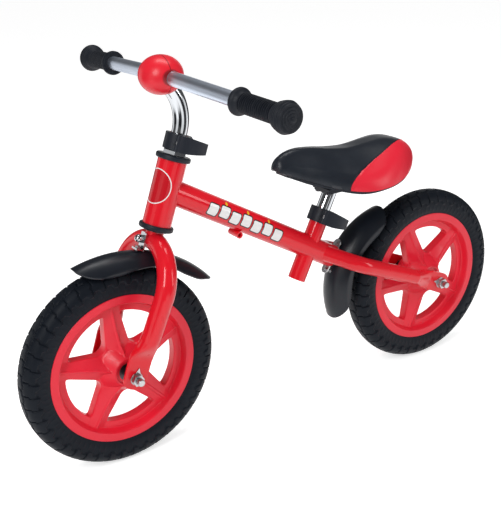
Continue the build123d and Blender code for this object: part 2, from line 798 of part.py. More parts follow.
bolt_spread = main_radius + guard_bolt_flats / 2 + bolt_room
guard_rise = guard_out.cross(Vector(0, 1, 0)) * bolt_spread
rear_bolt_lines = [
    Plane(origin=rear_guard_centre + way, x_dir=(0, 1, 0), z_dir=guard_out) for way in (guard_rise, -guard_rise)
]
rear_mid = radians((rear_guard_from + rear_guard_to) / 2)
rear_span = radians(rear_guard_to - rear_guard_from)
rear_out = Vector(cos(rear_mid), 0, sin(rear_mid))
rear_plan = Plane(
    origin=rear_guard_centre + rear_out * (rear_guard_radius - 3 * rear_guard_depth),
    x_dir=(-sin(rear_mid), 0, cos(rear_mid)),
    z_dir=rear_out,
)
with BuildPart() as rear_lobe:
    with BuildSketch(rear_plan):
        SlotOverall(2 * rear_guard_radius * sin(rear_span / 2), 2 * rear_guard_half_width + 1)
    extrude(amount=5 * rear_guard_depth)

with BuildPart() as rear_mudguard:
    add(guard_arch(rear_guard_centre, rear_guard_radius, rear_guard_half_width, rear_guard_depth,
                   rear_guard_from, rear_guard_to, 0))
    add(rear_lobe.part, mode=Mode.INTERSECT)
    for reach in rear_bolt_lines:
        add(rod(reach, rear_guard_radius - 4.5, strap_in, guard_pad_radius))
    add(guard_arch(rear_guard_centre, rear_guard_radius, rear_guard_half_width, rear_guard_depth,
                   rear_guard_from - 5, rear_guard_to + 5, guard_wall), mode=Mode.SUBTRACT)
    for reach in rear_bolt_lines:
        add(rod(reach, rear_guard_radius - 30, strap_out + 5, guard_bolt_radius + bolt_fit), mode=Mode.SUBTRACT)
save(rear_mudguard.part, "rear_mudguard")

strap_plane = Plane(origin=rear_guard_centre + guard_out * strap_in, x_dir=(0, 1, 0), z_dir=guard_out)
with BuildPart() as rear_guard_strap:
    with BuildSketch(strap_plane):
        SlotOverall(2 * bolt_spread + bracket_width, bracket_width, rotation=90)
        with Locations((0, bolt_spread), (0, -bolt_spread)):
            Circle(guard_bolt_radius + bolt_fit, mode=Mode.SUBTRACT)
    extrude(amount=bracket_thickness)
save(rear_guard_strap.part, "rear_guard_strap")

with BuildPart() as rear_guard_bolts:
    for reach in rear_bolt_lines:
        add(rod(reach, rear_guard_radius - 11, strap_out, guard_bolt_radius))
        add(hexagon(reach, strap_out, strap_out + 3, guard_bolt_flats, 0))
save(rear_guard_bolts.part, "rear_guard_bolts")

with BuildPart() as rear_guard_nuts:
    for reach in rear_bolt_lines:
        add(hexagon(reach, rear_guard_radius - 9.8, rear_guard_radius - 5.9, guard_bolt_flats,
                    guard_bolt_radius + seat_fit))
save(rear_guard_nuts.part, "rear_guard_nuts")

# ---------------------------------------------------------------- handlebar
bend_start = steerer_top + 1.5
turn = radians(stem_bend_angle)
bend_end_x = stem_bend_radius * (1 - cos(turn))
bend_end_y = bend_start + stem_bend_radius * sin(turn)
bend_mid_x = stem_bend_radius * (1 - cos(turn / 2))
bend_mid_y = bend_start + stem_bend_radius * sin(turn / 2)
bar_local_x = bend_end_x + stem_top_run * sin(turn)
bar_local_y = bend_end_y + stem_top_run * cos(turn)
bar_centre = steer_foot + steer_forward * bar_local_x + steer_up * bar_local_y
sweep_back = tan(radians(bar_sweep))
sweep_down = tan(radians(bar_droop))
left_way = Vector(-sweep_back, 1, -sweep_down).normalized()
right_way = Vector(-sweep_back, -1, -sweep_down).normalized()

with BuildPart() as handlebar_tube:
    with BuildLine() as bar_line:
        FilletPolyline(bar_centre + left_way * bar_reach, bar_centre, bar_centre + right_way * bar_reach,
                       radius=bar_bend_radius)
    with BuildSketch(Plane(origin=bar_line.line @ 0, z_dir=bar_line.line % 0)):
        Circle(bar_radius)
        Circle(bar_radius - bar_wall, mode=Mode.SUBTRACT)
    sweep(path=bar_line.line)
save(handlebar_tube.part, "handlebar_tube")

with BuildPart() as stem:
    with BuildLine(steer_side) as stem_line:
        shaft = Line((0, bend_start - stem_insert), (0, bend_start))
        ThreePointArc((0, bend_start), (bend_mid_x, bend_mid_y), (bend_end_x, bend_end_y))
        Line((bend_end_x, bend_end_y), (bar_local_x, bar_local_y))
    with BuildSketch(Plane(origin=shaft @ 0, z_dir=shaft % 0)):
        Circle(stem_radius)
        Circle(stem_radius - stem_wall, mode=Mode.SUBTRACT)
    sweep(path=stem_line.line)
    with BuildLine() as bar_core:
        FilletPolyline(bar_centre + left_way * 40, bar_centre, bar_centre + right_way * 40, radius=bar_bend_radius)
    with BuildSketch(Plane(origin=bar_core.line @ 0, z_dir=bar_core.line % 0)):
        Circle(bar_radius)
    sweep(path=bar_core.line, mode=Mode.SUBTRACT)
save(stem.part, "stem")

ball_plane = Plane(origin=bar_centre, x_dir=(1, 0, 0), z_dir=(0, -1, 0))


def ball_half(way, name):
    """Half of the flattened ball that covers the bar's weld, parted through the bar."""
    with BuildPart() as made:
        with BuildSketch(ball_plane):
            Ellipse(ball_radius, ball_half_height)
            Ellipse(ball_radius - ball_wall, ball_half_height - ball_wall, mode=Mode.SUBTRACT)
            with Locations((-ball_radius, 0)):
                Rectangle(2 * ball_radius, 3 * ball_radius, mode=Mode.SUBTRACT)
        revolve(axis=Axis(bar_centre, (0, 0, 1)))
        with BuildSketch(ball_plane.offset(-2 * ball_radius)):
            with Locations((-way * (ball_radius - face_gap / 2), 0)):
                Rectangle(2 * ball_radius, 3 * ball_radius)
        extrude(amount=4 * ball_radius, mode=Mode.SUBTRACT)
        for reach in (left_way, right_way):
            hole = Plane(origin=bar_centre, x_dir=(1, 0, 0), z_dir=reach)
            add(rod(hole, 0, 2 * ball_radius, bar_radius + bolt_fit), mode=Mode.SUBTRACT)
        stem_end = Plane(origin=bar_centre, x_dir=(0, 1, 0),
                         z_dir=-(steer_forward * sin(turn) + steer_up * cos(turn)))
        add(rod(stem_end, 0, 2 * ball_radius, stem_radius + bolt_fit), mode=Mode.SUBTRACT)
    save(made.part, name)


ball_half(1, "ball_cover_front")
ball_half(-1, "ball_cover_rear")

flange_end = grip_start + grip_flange_thickness
knob_mid = grip_body_end + knob_length / 2
knob_end = grip_body_end + knob_length
for way, name in ((left_way, "left_grip"), (right_way, "right_grip")):
    with BuildPart() as grip:
        section = Plane(origin=bar_centre, x_dir=way, z_dir=way.cross(Vector(0, 0, 1)))
        with BuildSketch(section):
            with BuildLine():
                inner_r = bar_radius + seat_fit
                Polyline(
                    (knob_end + grip_end_cap, 0), (bar_reach + face_gap, 0), (bar_reach + face_gap, inner_r),
                    (grip_start, inner_r), (grip_start, grip_flange_radius), (flange_end, grip_flange_radius),
                    (flange_end + 3, grip_radius + 1.5), (flange_end + 9, grip_radius), (grip_body_end, grip_radius),
                )
                ThreePointArc((grip_body_end, grip_radius), (knob_mid, knob_radius), (knob_end, knob_radius * 0.72))
                cap_middle = (knob_end + grip_end_cap * 0.8, knob_radius * 0.5)
                cap = ThreePointArc((knob_end, knob_radius * 0.72), cap_middle, (knob_end + grip_end_cap, 4))
                Line(cap @ 1, (knob_end + grip_end_cap, 0))
            make_face()
        revolve(axis=Axis(bar_centre, way))
    save(grip.part, name)


# ---------------------------------------------------------------- saddle
# stations along the saddle: distance ahead of its middle, half width, then the heights of the
# lower edge and of the middle of the top above the post's plate
saddle_x = seat_joint.X - 50.5
plate_top = seat_joint.Z + plate_rise
saddle_stations = [
    (115, 6, 44, 53),
    (100, 17, 40, 67),
    (75, 28, 29, 72),
    (40, 41, 16.5, 68.5),
    (0, 65.5, 7, 63.5),
    (-35, 70.5, 6.2, 64.5),
    (-70, 66, 8.6, 66.5),
    (-105, 49, 13.2, 60),
    (-135, 24, 20.5, 45),
    (-150, 6, 26.5, 32),
]
saddle_shoulder = 0.72
base_inset = 4
plate_thickness = 3
plate_length = 54
plate_width = 40
plate_centre_x = saddle_x + 0.5
screw_spacing_x = 42
screw_spacing_y = 26
screw_depth = 4
widest = max(half for ahead, half, low, high in saddle_stations)
lower_points = [(ahead, low) for ahead, half, low, high in saddle_stations]
saddle_side = Plane(origin=(saddle_x, 0, plate_top), x_dir=(1, 0, 0), z_dir=(0, -1, 0))


def saddle_section(ahead, half, low, high):
    """One cross-section of the pad, its underside a little below the lower edge."""
    shoulder = low + (high - low) * saddle_shoulder
    station = Plane(origin=(saddle_x + ahead, 0, plate_top), x_dir=(0, 1, 0), z_dir=(1, 0, 0))
    with BuildSketch(station) as made:
        with BuildLine():
            Spline((-half, low), (-half * 0.88, shoulder), (0, high), (half * 0.88, shoulder), (half, low))
            Polyline((half, low), (half, low - 3), (-half, low - 3), (-half, low))
        make_face()
    return made.sketch


def under_saddle(drop):
    """All the room below the pad's underside, the underside lowered by a drop."""
    first_x, first_low = lower_points[0]
    last_x, last_low = lower_points[-1]
    with BuildPart() as made:
        with BuildSketch(saddle_side.offset(-widest - 10)):
            with BuildLine():
                edge = Spline(*[(x, low - drop) for x, low in lower_points])
                floor = -widest
                Polyline(edge @ 1, (last_x - 20, last_low - drop), (last_x - 20, floor), (first_x + 20, floor),
                         (first_x + 20, first_low - drop), edge @ 0)
            make_face()
        extrude(amount=2 * widest + 20)
    return made.part


with BuildPart() as saddle_pad:
    for station in saddle_stations:
        add(saddle_section(*station))
    loft()
    add(under_saddle(0), mode=Mode.SUBTRACT)
save(saddle_pad.part, "saddle_pad")

plate_plane = Plane(origin=(plate_centre_x, 0, plate_top))
with BuildPart() as saddle_base:
    with BuildSketch(Plane(origin=(saddle_x, 0, plate_top - base_inset))):
        with BuildLine():
            rim_points = [(ahead, half - base_inset) for ahead, half, low, high in saddle_stations[1:-1]]
            Spline(*rim_points)
            Line(rim_points[-1], (rim_points[-1][0], -rim_points[-1][1]))
            Spline(*[(x, -y) for x, y in reversed(rim_points)])
            Line((rim_points[0][0], -rim_points[0][1]), rim_points[0])
        make_face()
    extrude(amount=widest)
    add(under_saddle(0), mode=Mode.INTERSECT)
    add(under_saddle(saddle_base_thickness), mode=Mode.SUBTRACT)
    with BuildSketch(plate_plane):
        Rectangle(plate_length, plate_width)
    extrude(amount=saddle_base_thickness)
    with BuildSketch(plate_plane):
        with GridLocations(screw_spacing_x, screw_spacing_y, 2, 2):
            Circle(saddle_screw_radius + bolt_fit)
    extrude(amount=screw_depth, mode=Mode.SUBTRACT)
save(saddle_base.part, "saddle_base")

with BuildPart() as saddle_plate:
    with BuildSketch(plate_plane):
        RectangleRounded(plate_length, plate_width, 6)
        with GridLocations(screw_spacing_x, screw_spacing_y, 2, 2):
            Circle(saddle_screw_radius + bolt_fit, mode=Mode.SUBTRACT)
    extrude(amount=-plate_thickness)
save(saddle_plate.part, "saddle_plate")

with BuildPart() as saddle_screws:
    with BuildSketch(plate_plane.offset(-plate_thickness)):
        with GridLocations(screw_spacing_x, screw_spacing_y, 2, 2):
            Circle(saddle_screw_radius)
    extrude(amount=plate_thickness + screw_depth - 0.5)
    with BuildSketch(plate_plane.offset(-plate_thickness)):
        with GridLocations(screw_spacing_x, screw_spacing_y, 2, 2):
            Circle(2 * saddle_screw_radius)
    extrude(amount=-saddle_screw_radius)
save(saddle_screws.part, "saddle_screws")

with BuildPart() as seat_post:
    add(pipe(seat_axis, -post_below, 1.3 * plate_rise, post_radius, post_radius - post_wall))
    with BuildSketch(plate_plane.offset(-plate_thickness)):
        Rectangle(4 * plate_length, 4 * plate_width)
    extrude(amount=plate_rise, mode=Mode.SUBTRACT)
save(seat_post.part, "seat_post")

print("bar centre", bar_centre, "seat joint", seat_joint, "main joint", main_joint)
print("stem pin", stem_pin, "seat pin", seat_pin)
print("stay way", stay_way, "strap", strap_distance, guard_way_angle)
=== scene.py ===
import bpy
import bmesh
import json
import math
import numpy as np
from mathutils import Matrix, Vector

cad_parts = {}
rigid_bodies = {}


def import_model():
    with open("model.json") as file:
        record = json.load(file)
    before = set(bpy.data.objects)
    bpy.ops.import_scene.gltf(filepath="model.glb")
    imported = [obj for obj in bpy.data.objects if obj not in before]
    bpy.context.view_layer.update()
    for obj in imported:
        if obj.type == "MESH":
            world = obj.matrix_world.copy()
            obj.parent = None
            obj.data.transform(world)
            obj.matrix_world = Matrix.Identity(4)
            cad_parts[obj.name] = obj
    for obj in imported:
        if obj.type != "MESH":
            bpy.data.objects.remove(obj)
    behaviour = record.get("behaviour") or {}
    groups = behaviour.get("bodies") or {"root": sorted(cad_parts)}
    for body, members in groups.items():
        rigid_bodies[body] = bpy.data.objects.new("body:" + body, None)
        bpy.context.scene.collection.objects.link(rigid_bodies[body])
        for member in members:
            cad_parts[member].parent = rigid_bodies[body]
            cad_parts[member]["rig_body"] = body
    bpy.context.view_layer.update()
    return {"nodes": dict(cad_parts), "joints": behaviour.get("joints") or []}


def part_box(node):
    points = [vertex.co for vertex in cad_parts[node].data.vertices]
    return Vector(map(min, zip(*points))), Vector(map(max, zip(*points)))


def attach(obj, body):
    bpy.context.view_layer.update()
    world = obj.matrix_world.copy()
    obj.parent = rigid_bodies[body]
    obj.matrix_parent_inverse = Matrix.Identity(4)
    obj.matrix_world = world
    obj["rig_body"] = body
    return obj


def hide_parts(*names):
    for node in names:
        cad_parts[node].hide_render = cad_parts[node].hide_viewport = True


# Looks of a child's balance bike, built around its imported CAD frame. Metres, +X forward, +Y left, +Z up.

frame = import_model()
nodes = frame["nodes"]
joints = {joint["name"]: joint for joint in frame["joints"]}
mm = 0.001


class Wire:  # one socket of a finish, with arithmetic that adds Math nodes
    def __init__(self, finish, socket):
        self.finish, self.socket = finish, socket

    def math(self, operation, *values):
        return self.finish.add("ShaderNodeMath", {"operation": operation}, dict(enumerate(values)))

    def __add__(self, other): return self.math("ADD", self, other)
    def __radd__(self, other): return self.math("ADD", other, self)
    def __sub__(self, other): return self.math("SUBTRACT", self, other)
    def __rsub__(self, other): return self.math("SUBTRACT", other, self)
    def __mul__(self, other): return self.math("MULTIPLY", self, other)
    def __rmul__(self, other): return self.math("MULTIPLY", other, self)
    def __truediv__(self, other): return self.math("DIVIDE", self, other)
    def __rtruediv__(self, other): return self.math("DIVIDE", other, self)
    def __pow__(self, other): return self.math("POWER", self, other)
    def __neg__(self): return self.math("MULTIPLY", self, -1.0)
    def __abs__(self): return self.math("ABSOLUTE", self)
    def most(self, other): return self.math("MAXIMUM", self, other)
    def above(self, edge, soft): return self.ramp(edge - soft, edge + soft)
    def below(self, edge, soft): return 1 - self.above(edge, soft)

    def ramp(self, low, high, toLow=0.0, toHigh=1.0):  # smooth step from toLow to toHigh
        return self.finish.add("ShaderNodeMapRange", {"interpolation_type": "SMOOTHSTEP"},
                               {0: self, 1: low, 2: high, 3: toLow, 4: toHigh})


class Finish:  # a material and the nodes that make it
    def __init__(self, name, **fixed):
        self.material = bpy.data.materials.new(name)
        self.material.use_nodes = True
        self.tree = self.material.node_tree
        self.shader = next(n for n in self.tree.nodes if n.type == "BSDF_PRINCIPLED")
        self.set(**fixed)

    def set(self, **values):
        for key, value in values.items():
            self.plug(self.shader.inputs[key.replace("_", " ")], value)
        return self

    def plug(self, socket, value):
        if isinstance(value, Wire):
            self.tree.links.new(value.socket, socket)
        elif isinstance(value, (tuple, list)) and len(value) == 3 and socket.type == "RGBA":
            socket.default_value = (*value, 1.0)
        else:
            socket.default_value = value

    def add(self, kind, settings=None, inputs=None, output=0):  # any node: its settings first, then its inputs
        node = self.tree.nodes.new(kind)
        for key, value in (settings or {}).items():
            setattr(node, key, value)
        for key, value in (inputs or {}).items():
            self.plug(node.inputs[key], value)
        return Wire(self, node.outputs[output])

    def place(self, centre=(0, 0, 0), scale=(1, 1, 1)):  # Object coordinates, from a centre
        spot = self.add("ShaderNodeTexCoord", output="Object")
        shifted = self.add("ShaderNodeVectorMath", {"operation": "SUBTRACT"}, {0: spot, 1: centre})
        return self.add("ShaderNodeVectorMath", {"operation": "MULTIPLY"}, {0: shifted, 1: scale})

    def along(self, way, centre=(0, 0, 0)):  # distance along a direction
        return self.add("ShaderNodeVectorMath", {"operation": "DOT_PRODUCT"},
                        {0: self.place(centre), 1: tuple(way)}, "Value")

    def noise(self, scale, detail=3.0, roughness=0.5, stretch=(1, 1, 1)):
        return self.add("ShaderNodeTexNoise", {}, {"Vector": self.place(scale=stretch), "Scale": scale,
                                                   "Detail": detail, "Roughness": roughness}, "Fac")

    def cells(self, scale, feature="F1", randomness=1.0):
        return self.add("ShaderNodeTexVoronoi", {"feature": feature},
                        {"Vector": self.place(), "Scale": scale, "Randomness": randomness}, "Distance")

    def attribute(self, name):
        return self.add("ShaderNodeAttribute", {"attribute_name": name}, output="Fac")

    def blend(self, factor, first, second):  # a colour between two
        return self.add("ShaderNodeMix", {"data_type": "RGBA"}, {0: factor, 6: first, 7: second}, 2)

    def relief(self, height, strength=0.3, distance=0.0005):
        bump = self.add("ShaderNodeBump", {}, {"Strength": strength, "Distance": distance, "Height": height}, "Normal")
        return self.set(Normal=bump)


def gridFaces(rows, columns, wrapRows=False, wrapColumns=False, start=0):
    # quads between neighbouring points of a grid stored row by row
    row = np.arange(rows if wrapRows else rows - 1)[:, None]
    column = np.arange(columns if wrapColumns else columns - 1)[None, :]
    nextRow, nextColumn = (row + 1) % rows, (column + 1) % columns
    corners = [row * columns + column, row * columns + nextColumn,
               nextRow * columns + nextColumn, nextRow * columns + column]
    return np.stack(np.broadcast_arrays(*corners), -1).reshape(-1, 4) + start


def fanFaces(first, count, tip):
    # triangles from a ring of points to one tip
    ring = np.arange(count)
    return np.stack([first + ring, first + (ring + 1) % count, np.full(count, tip)], -1)


def insideOut(points, faces):
    # six times the signed volume of a closed mesh, summed over fans of its faces
    total = 0.0
    for group in faces:
        for k in range(1, group.shape[1] - 1):
            a, b, c = points[group[:, 0]], points[group[:, k]], points[group[:, k + 1]]
            total += np.einsum("ij,ij->", a, np.cross(b, c))
    return total < 0


def buildMesh(name, points, faces, crease=40.0, attributes=None):
    # one mesh from arrays of points and faces, turned outwards, sharp where faces meet by more than crease degrees
    points = np.asarray(points, float).reshape(-1, 3)
    faces = [np.asarray(group) for group in faces if len(group)]
    if insideOut(points - points.mean(0), faces):
        faces = [group[:, ::-1] for group in faces]
    mesh = bpy.data.meshes.new(name)
    loops = np.concatenate([group.ravel() for group in faces]).astype(np.int32)
    sizes = np.concatenate([np.full(len(group), group.shape[1]) for group in faces]).astype(np.int32)
    mesh.vertices.add(len(points))
    mesh.vertices.foreach_set("co", points.astype(np.float32).ravel())
    mesh.loops.add(len(loops))
    mesh.loops.foreach_set("vertex_index", loops)
    mesh.polygons.add(len(sizes))
    mesh.polygons.foreach_set("loop_start", np.concatenate([[0], np.cumsum(sizes)[:-1]]).astype(np.int32))
    for key, values in (attributes or {}).items():
        mesh.attributes.new(key, "FLOAT", "POINT").data.foreach_set("value", np.asarray(values, np.float32).ravel())
    mesh.update(calc_edges=True)
    mesh.validate()
    smooth(mesh, crease)
    return mesh


def smooth(mesh, crease):
    mesh.polygons.foreach_set("use_smooth", np.ones(len(mesh.polygons), bool))
    mesh.set_sharp_from_angle(angle=math.radians(crease))


def weld(mesh, crease, gap=2e-6):
    # joins points that share a place and turns every face outwards
    work = bmesh.new()
    work.from_mesh(mesh)
    bmesh.ops.remove_doubles(work, verts=work.verts, dist=gap)
    bmesh.ops.recalc_face_normals(work, faces=work.faces)
    work.to_mesh(mesh)
    work.free()
    smooth(mesh, crease)


def addPiece(name, mesh, body, finish, stands=()):
    # puts a mesh in the scene, riding on a body, in place of the CAD nodes that it stands for
    piece = bpy.data.objects.new(name, mesh)
    bpy.context.scene.collection.objects.link(piece)
    mesh.materials.clear()
    mesh.materials.append(finish.material)
    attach(piece, body)
    if stands:
        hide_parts(*([stands] if isinstance(stands, str) else stands))
    return piece


def softEdged(node, width, finish, name=None, angle=32.0, segments=3):
    # a CAD node's own shape, merged, with its sharp edges rounded over
    source = nodes[node]
    mesh = source.data.copy()
    mesh.name = name or node + "Rounded"
    work = bmesh.new()
    work.from_mesh(mesh)
    bmesh.ops.remove_doubles(work, verts=work.verts, dist=2e-6)
    bmesh.ops.dissolve_limit(work, angle_limit=math.radians(1.0), verts=work.verts, edges=work.edges)
    work.to_mesh(mesh)
    work.free()
    smooth(mesh, angle)
    piece = addPiece(mesh.name, mesh, source["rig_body"], finish, node)
    bevel = piece.modifiers.new("edges", "BEVEL")
    bevel.width = width
    bevel.segments = segments
    bevel.limit_method = "ANGLE"
    bevel.angle_limit = math.radians(angle)
    bevel.harden_normals = True
    return piece


def turned(profile, centre, axis, turns=96, phase=0.0):
    # a profile of (distance along, radius) turned about an axis: a grid of points, one row per profile point
    axis = np.asarray(axis, float) / np.linalg.norm(axis)
    side = np.cross(axis, [0, 0, 1] if abs(axis[2]) < 0.9 else [1, 0, 0])
    side /= np.linalg.norm(side)
    other = np.cross(axis, side)
    angle = np.linspace(0, 2 * np.pi, turns, endpoint=False) + phase
    ring = np.cos(angle)[:, None] * side + np.sin(angle)[:, None] * other
    profile = np.asarray(profile, float)
    return np.asarray(centre) + profile[:, None, :1] * axis + profile[:, None, 1:2] * ring[None]


def turnedPiece(name, profile, centre, axis, body, finish, stands=(), turns=96, crease=35.0, closed=True):
    # closed: the profile is a loop; otherwise its two ends are closed with poles on the axis
    profile = np.asarray(profile, float)
    grid = turned(profile, centre, axis, turns)
    rows = len(profile)
    points = grid.reshape(-1, 3)
    faces = [gridFaces(rows, turns, closed, True)]
    if not closed:
        direction = np.asarray(axis, float) / np.linalg.norm(axis)
        tips = np.asarray(centre) + profile[[0, -1], :1] * direction
        points = np.vstack([points, tips])
        faces += [fanFaces(0, turns, rows * turns)[:, ::-1], fanFaces((rows - 1) * turns, turns, rows * turns + 1)]
    return addPiece(name, buildMesh(name, points, faces, crease), body, finish, stands)


def easeStep(value, low, high):
    # rises from 0 to 1 as 3t^2 - 2t^3 between low and high
    t = np.clip((value - low) / (high - low), 0, 1)
    return t * t * (3 - 2 * t)


# hubs and the steering direction, read from the joints
frontHub = np.array(joints["front_wheel_spin"]["pos_m"])
rearHub = np.array(joints["rear_wheel_spin"]["pos_m"])
steerUp = np.array(joints["steering"]["axis"]) / np.linalg.norm(joints["steering"]["axis"])
steerAhead = np.cross([0, 1, 0], steerUp)


def nodeBox(*names):
    corners = np.array([[list(c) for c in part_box(n)] for n in names])
    return corners[:, 0].min(0), corners[:, 1].max(0)


# the camera's place and direction in metres, its roll in degrees, its lens in mm
lens = {"place": (0.7677, 1.1010, 0.7659), "ahead": (-0.5059, -0.7833, -0.3612), "roll": -1.52,
        "focal": 68.82, "sensor": 36.0}
eye = bpy.data.objects.new("eye", bpy.data.cameras.new("eye"))
bpy.context.scene.collection.objects.link(eye)
eye.location = lens["place"]
turn = Vector(lens["ahead"]).to_track_quat("-Z", "Y").to_matrix().to_4x4()
eye.rotation_euler = turn.to_euler()
eye.rotation_euler.rotate_axis("Z", math.radians(lens["roll"]))
eye.data.lens = lens["focal"]
eye.data.sensor_width = lens["sensor"]
eye.data.sensor_fit = "HORIZONTAL"
eye.data.clip_start = 0.01
bpy.context.scene.camera = eye
print("camera set")

# paints, plastics, rubber and metals, each with a slight unevenness
marks = {"from": 0.064, "pitch": 0.0205, "count": 7, "half": 0.0095, "tall": 0.0096, "corner": 0.0040,
         "line": 0.0016, "stagger": 0.0024, "dotRise": 0.0128, "dotRadius": 0.0021,
         "mainJoint": (0.190387, 0, 0.383084), "slope": 30.0, "badgeRise": 0.2566, "badgeTurn": 12.0,
         "badgeRadius": 0.0235, "badgeLine": 0.0007, "badgeShade": 0.55, "headRadius": 0.020}


def redEnamel(name):
    # the frame's paint, and its colour apart, so that printed marks can be laid over it
    paint = Finish(name, Roughness=0.3, Coat_Weight=0.7, Coat_Roughness=0.05, Coat_IOR=1.45, Specular_IOR_Level=0.12)
    paint.set(Roughness=paint.noise(60, 3) * 0.10 + 0.24)
    paint.relief(paint.noise(420, 2), 0.05, 0.0002)
    return paint, paint.blend(paint.noise(9, 2), (0.74, 0.006, 0.017), (0.80, 0.010, 0.022))


def tileMark(paint, s, colour):
    # a row of plain white rounded tiles with a dark outline, and a small yellow dot over every other one
    slope = math.radians(s["slope"])
    back, down = (-math.cos(slope), 0, -math.sin(slope)), (math.sin(slope), 0, -math.cos(slope))
    along = paint.along(back, s["mainJoint"]) - s["from"]
    across = paint.along(down, s["mainJoint"])
    place = along / s["pitch"]
    whole = paint.add("ShaderNodeMath", {"operation": "FLOOR"}, {0: place})
    local = (place - whole - 0.5) * s["pitch"]
    inRow = place.above(0.0, 0.001) * place.below(float(s["count"]), 0.001)
    even = whole.math("PINGPONG", whole, 1.0)
    outX = (abs(local) - (s["half"] - s["corner"])).most(0.0)
    outY = (abs(across + (even - 0.5) * s["stagger"]) - (s["tall"] - s["corner"])).most(0.0)
    reach = (outX * outX + outY * outY) ** 0.5
    dark = reach.below(s["corner"], 0.00012) * inRow
    light = reach.below(s["corner"] - s["line"], 0.00012) * inRow
    dotX, dotY = local, across + s["dotRise"]
    dot = ((dotX * dotX + dotY * dotY) ** 0.5).below(s["dotRadius"], 0.00015) * inRow * even
    colour = paint.blend(dark, colour, (0.02, 0.012, 0.012))
    colour = paint.blend(light, colour, (0.86, 0.86, 0.85))
    return paint.blend(dot, colour, (0.85, 0.50, 0.02))


def ringMark(paint, s, colour):
    # a thin white ring on the front of the head tube, unrolled from the angle round it
    base = frontHub - steerAhead * 4.5 * mm + steerUp * s["badgeRise"]
    aside, ahead = paint.along((0, 1, 0), base), paint.along(steerAhead, base)
    unrolled = aside.math("ARCTAN2", aside, ahead) - math.radians(s["badgeTurn"])
    flatX, flatY = unrolled * s["headRadius"], paint.along(steerUp, base)
    reach = (flatX * flatX + flatY * flatY) ** 0.5
    inside = reach.below(s["badgeRadius"], 0.0001)
    line = abs(reach - s["badgeRadius"]).below(s["badgeLine"], 0.00012)
    colour = paint.blend(inside * s["badgeShade"], colour, (0.36, 0.004, 0.010))
    return paint.blend(line, colour, (0.86, 0.86, 0.85))


enamel, enamelColour = redEnamel("redEnamel")
enamel.set(Base_Color=enamelColour)
mainPaint, mainColour = redEnamel("redEnamelTiles")
mainPaint.set(Base_Color=tileMark(mainPaint, marks, mainColour))
headPaint, headColour = redEnamel("redEnamelRing")
headPaint.set(Base_Color=ringMark(headPaint, marks, headColour))

rimNylon = Finish("redNylon", Roughness=0.36, Coat_Weight=0.2, Coat_Roughness=0.2, Specular_IOR_Level=0.35)
rimNylon.set(Base_Color=rimNylon.blend(rimNylon.noise(14, 2), (0.78, 0.010, 0.030), (0.84, 0.016, 0.042)))
rimNylon.set(Roughness=rimNylon.noise(90, 3) * 0.14 + 0.32)
rimNylon.relief(rimNylon.noise(900, 2), 0.10, 0.0002)

foamTyre = Finish("foamTyre", Roughness=0.5, Specular_IOR_Level=0.13)
foamTyre.set(Base_Color=foamTyre.blend(foamTyre.noise(35, 4), (0.004, 0.006, 0.010), (0.008, 0.011, 0.017)))
foamTyre.set(Roughness=foamTyre.noise(140, 4) * 0.20 + 0.38)
foamTyre.relief(foamTyre.noise(1300, 3, 0.65), 0.25, 0.0003)

chrome = Finish("chromePlate", Metallic=1.0, Roughness=0.06)
chrome.set(Base_Color=chrome.blend(chrome.noise(20, 3), (0.56, 0.58, 0.61), (0.66, 0.68, 0.70)))
chrome.set(Roughness=chrome.noise(55, 4) * 0.10 + 0.03)

barMetal = Finish("polishedBar", Metallic=1.0, Roughness=0.2)
barMetal.set(Base_Color=barMetal.blend(barMetal.noise(30, 3), (0.60, 0.67, 0.79), (0.70, 0.76, 0.86)))
barMetal.set(Roughness=barMetal.noise(70, 4, 0.6, (1, 12, 1)) * 0.14 + 0.30)

zinc = Finish("zincSteel", Metallic=1.0, Roughness=0.3)
zinc.set(Base_Color=zinc.blend(zinc.noise(160, 3), (0.34, 0.34, 0.36), (0.62, 0.62, 0.62)))
zinc.set(Roughness=zinc.noise(320, 3) * 0.22 + 0.20)

darkSteel = Finish("darkSteel", Metallic=1.0, Roughness=0.35)
darkSteel.set(Base_Color=darkSteel.blend(darkSteel.noise(150, 3), (0.05, 0.05, 0.055), (0.13, 0.13, 0.14)))
darkSteel.set(Roughness=darkSteel.noise(280, 3) * 0.2 + 0.25)

blackNylon = Finish("blackNylon", Roughness=0.42, Specular_IOR_Level=0.26)
blackNylon.set(Base_Color=blackNylon.blend(blackNylon.noise(40, 3), (0.010, 0.013, 0.020), (0.018, 0.021, 0.030)))
blackNylon.set(Roughness=blackNylon.noise(260, 3) * 0.16 + 0.36)
blackNylon.relief(blackNylon.noise(1800, 2), 0.14, 0.0002)

guardPlastic = Finish("guardPlastic", Roughness=0.3, Specular_IOR_Level=0.34)
guardPlastic.set(Base_Color=guardPlastic.blend(guardPlastic.noise(18, 3), (0.006, 0.008, 0.013), (0.011, 0.014, 0.020)))
guardPlastic.set(Roughness=guardPlastic.noise(75, 4) * 0.16 + 0.24)
guardPlastic.relief(guardPlastic.noise(700, 2), 0.05, 0.0002)

gripRubber = Finish("gripRubber", Roughness=0.5, Specular_IOR_Level=0.24)
gripRubber.set(Base_Color=gripRubber.blend(gripRubber.noise(60, 3), (0.006, 0.008, 0.013), (0.013, 0.016, 0.023)))
gripRubber.set(Roughness=gripRubber.noise(240, 3) * 0.2 + 0.42)
gripRubber.relief(gripRubber.noise(2200, 2), 0.16, 0.0002)

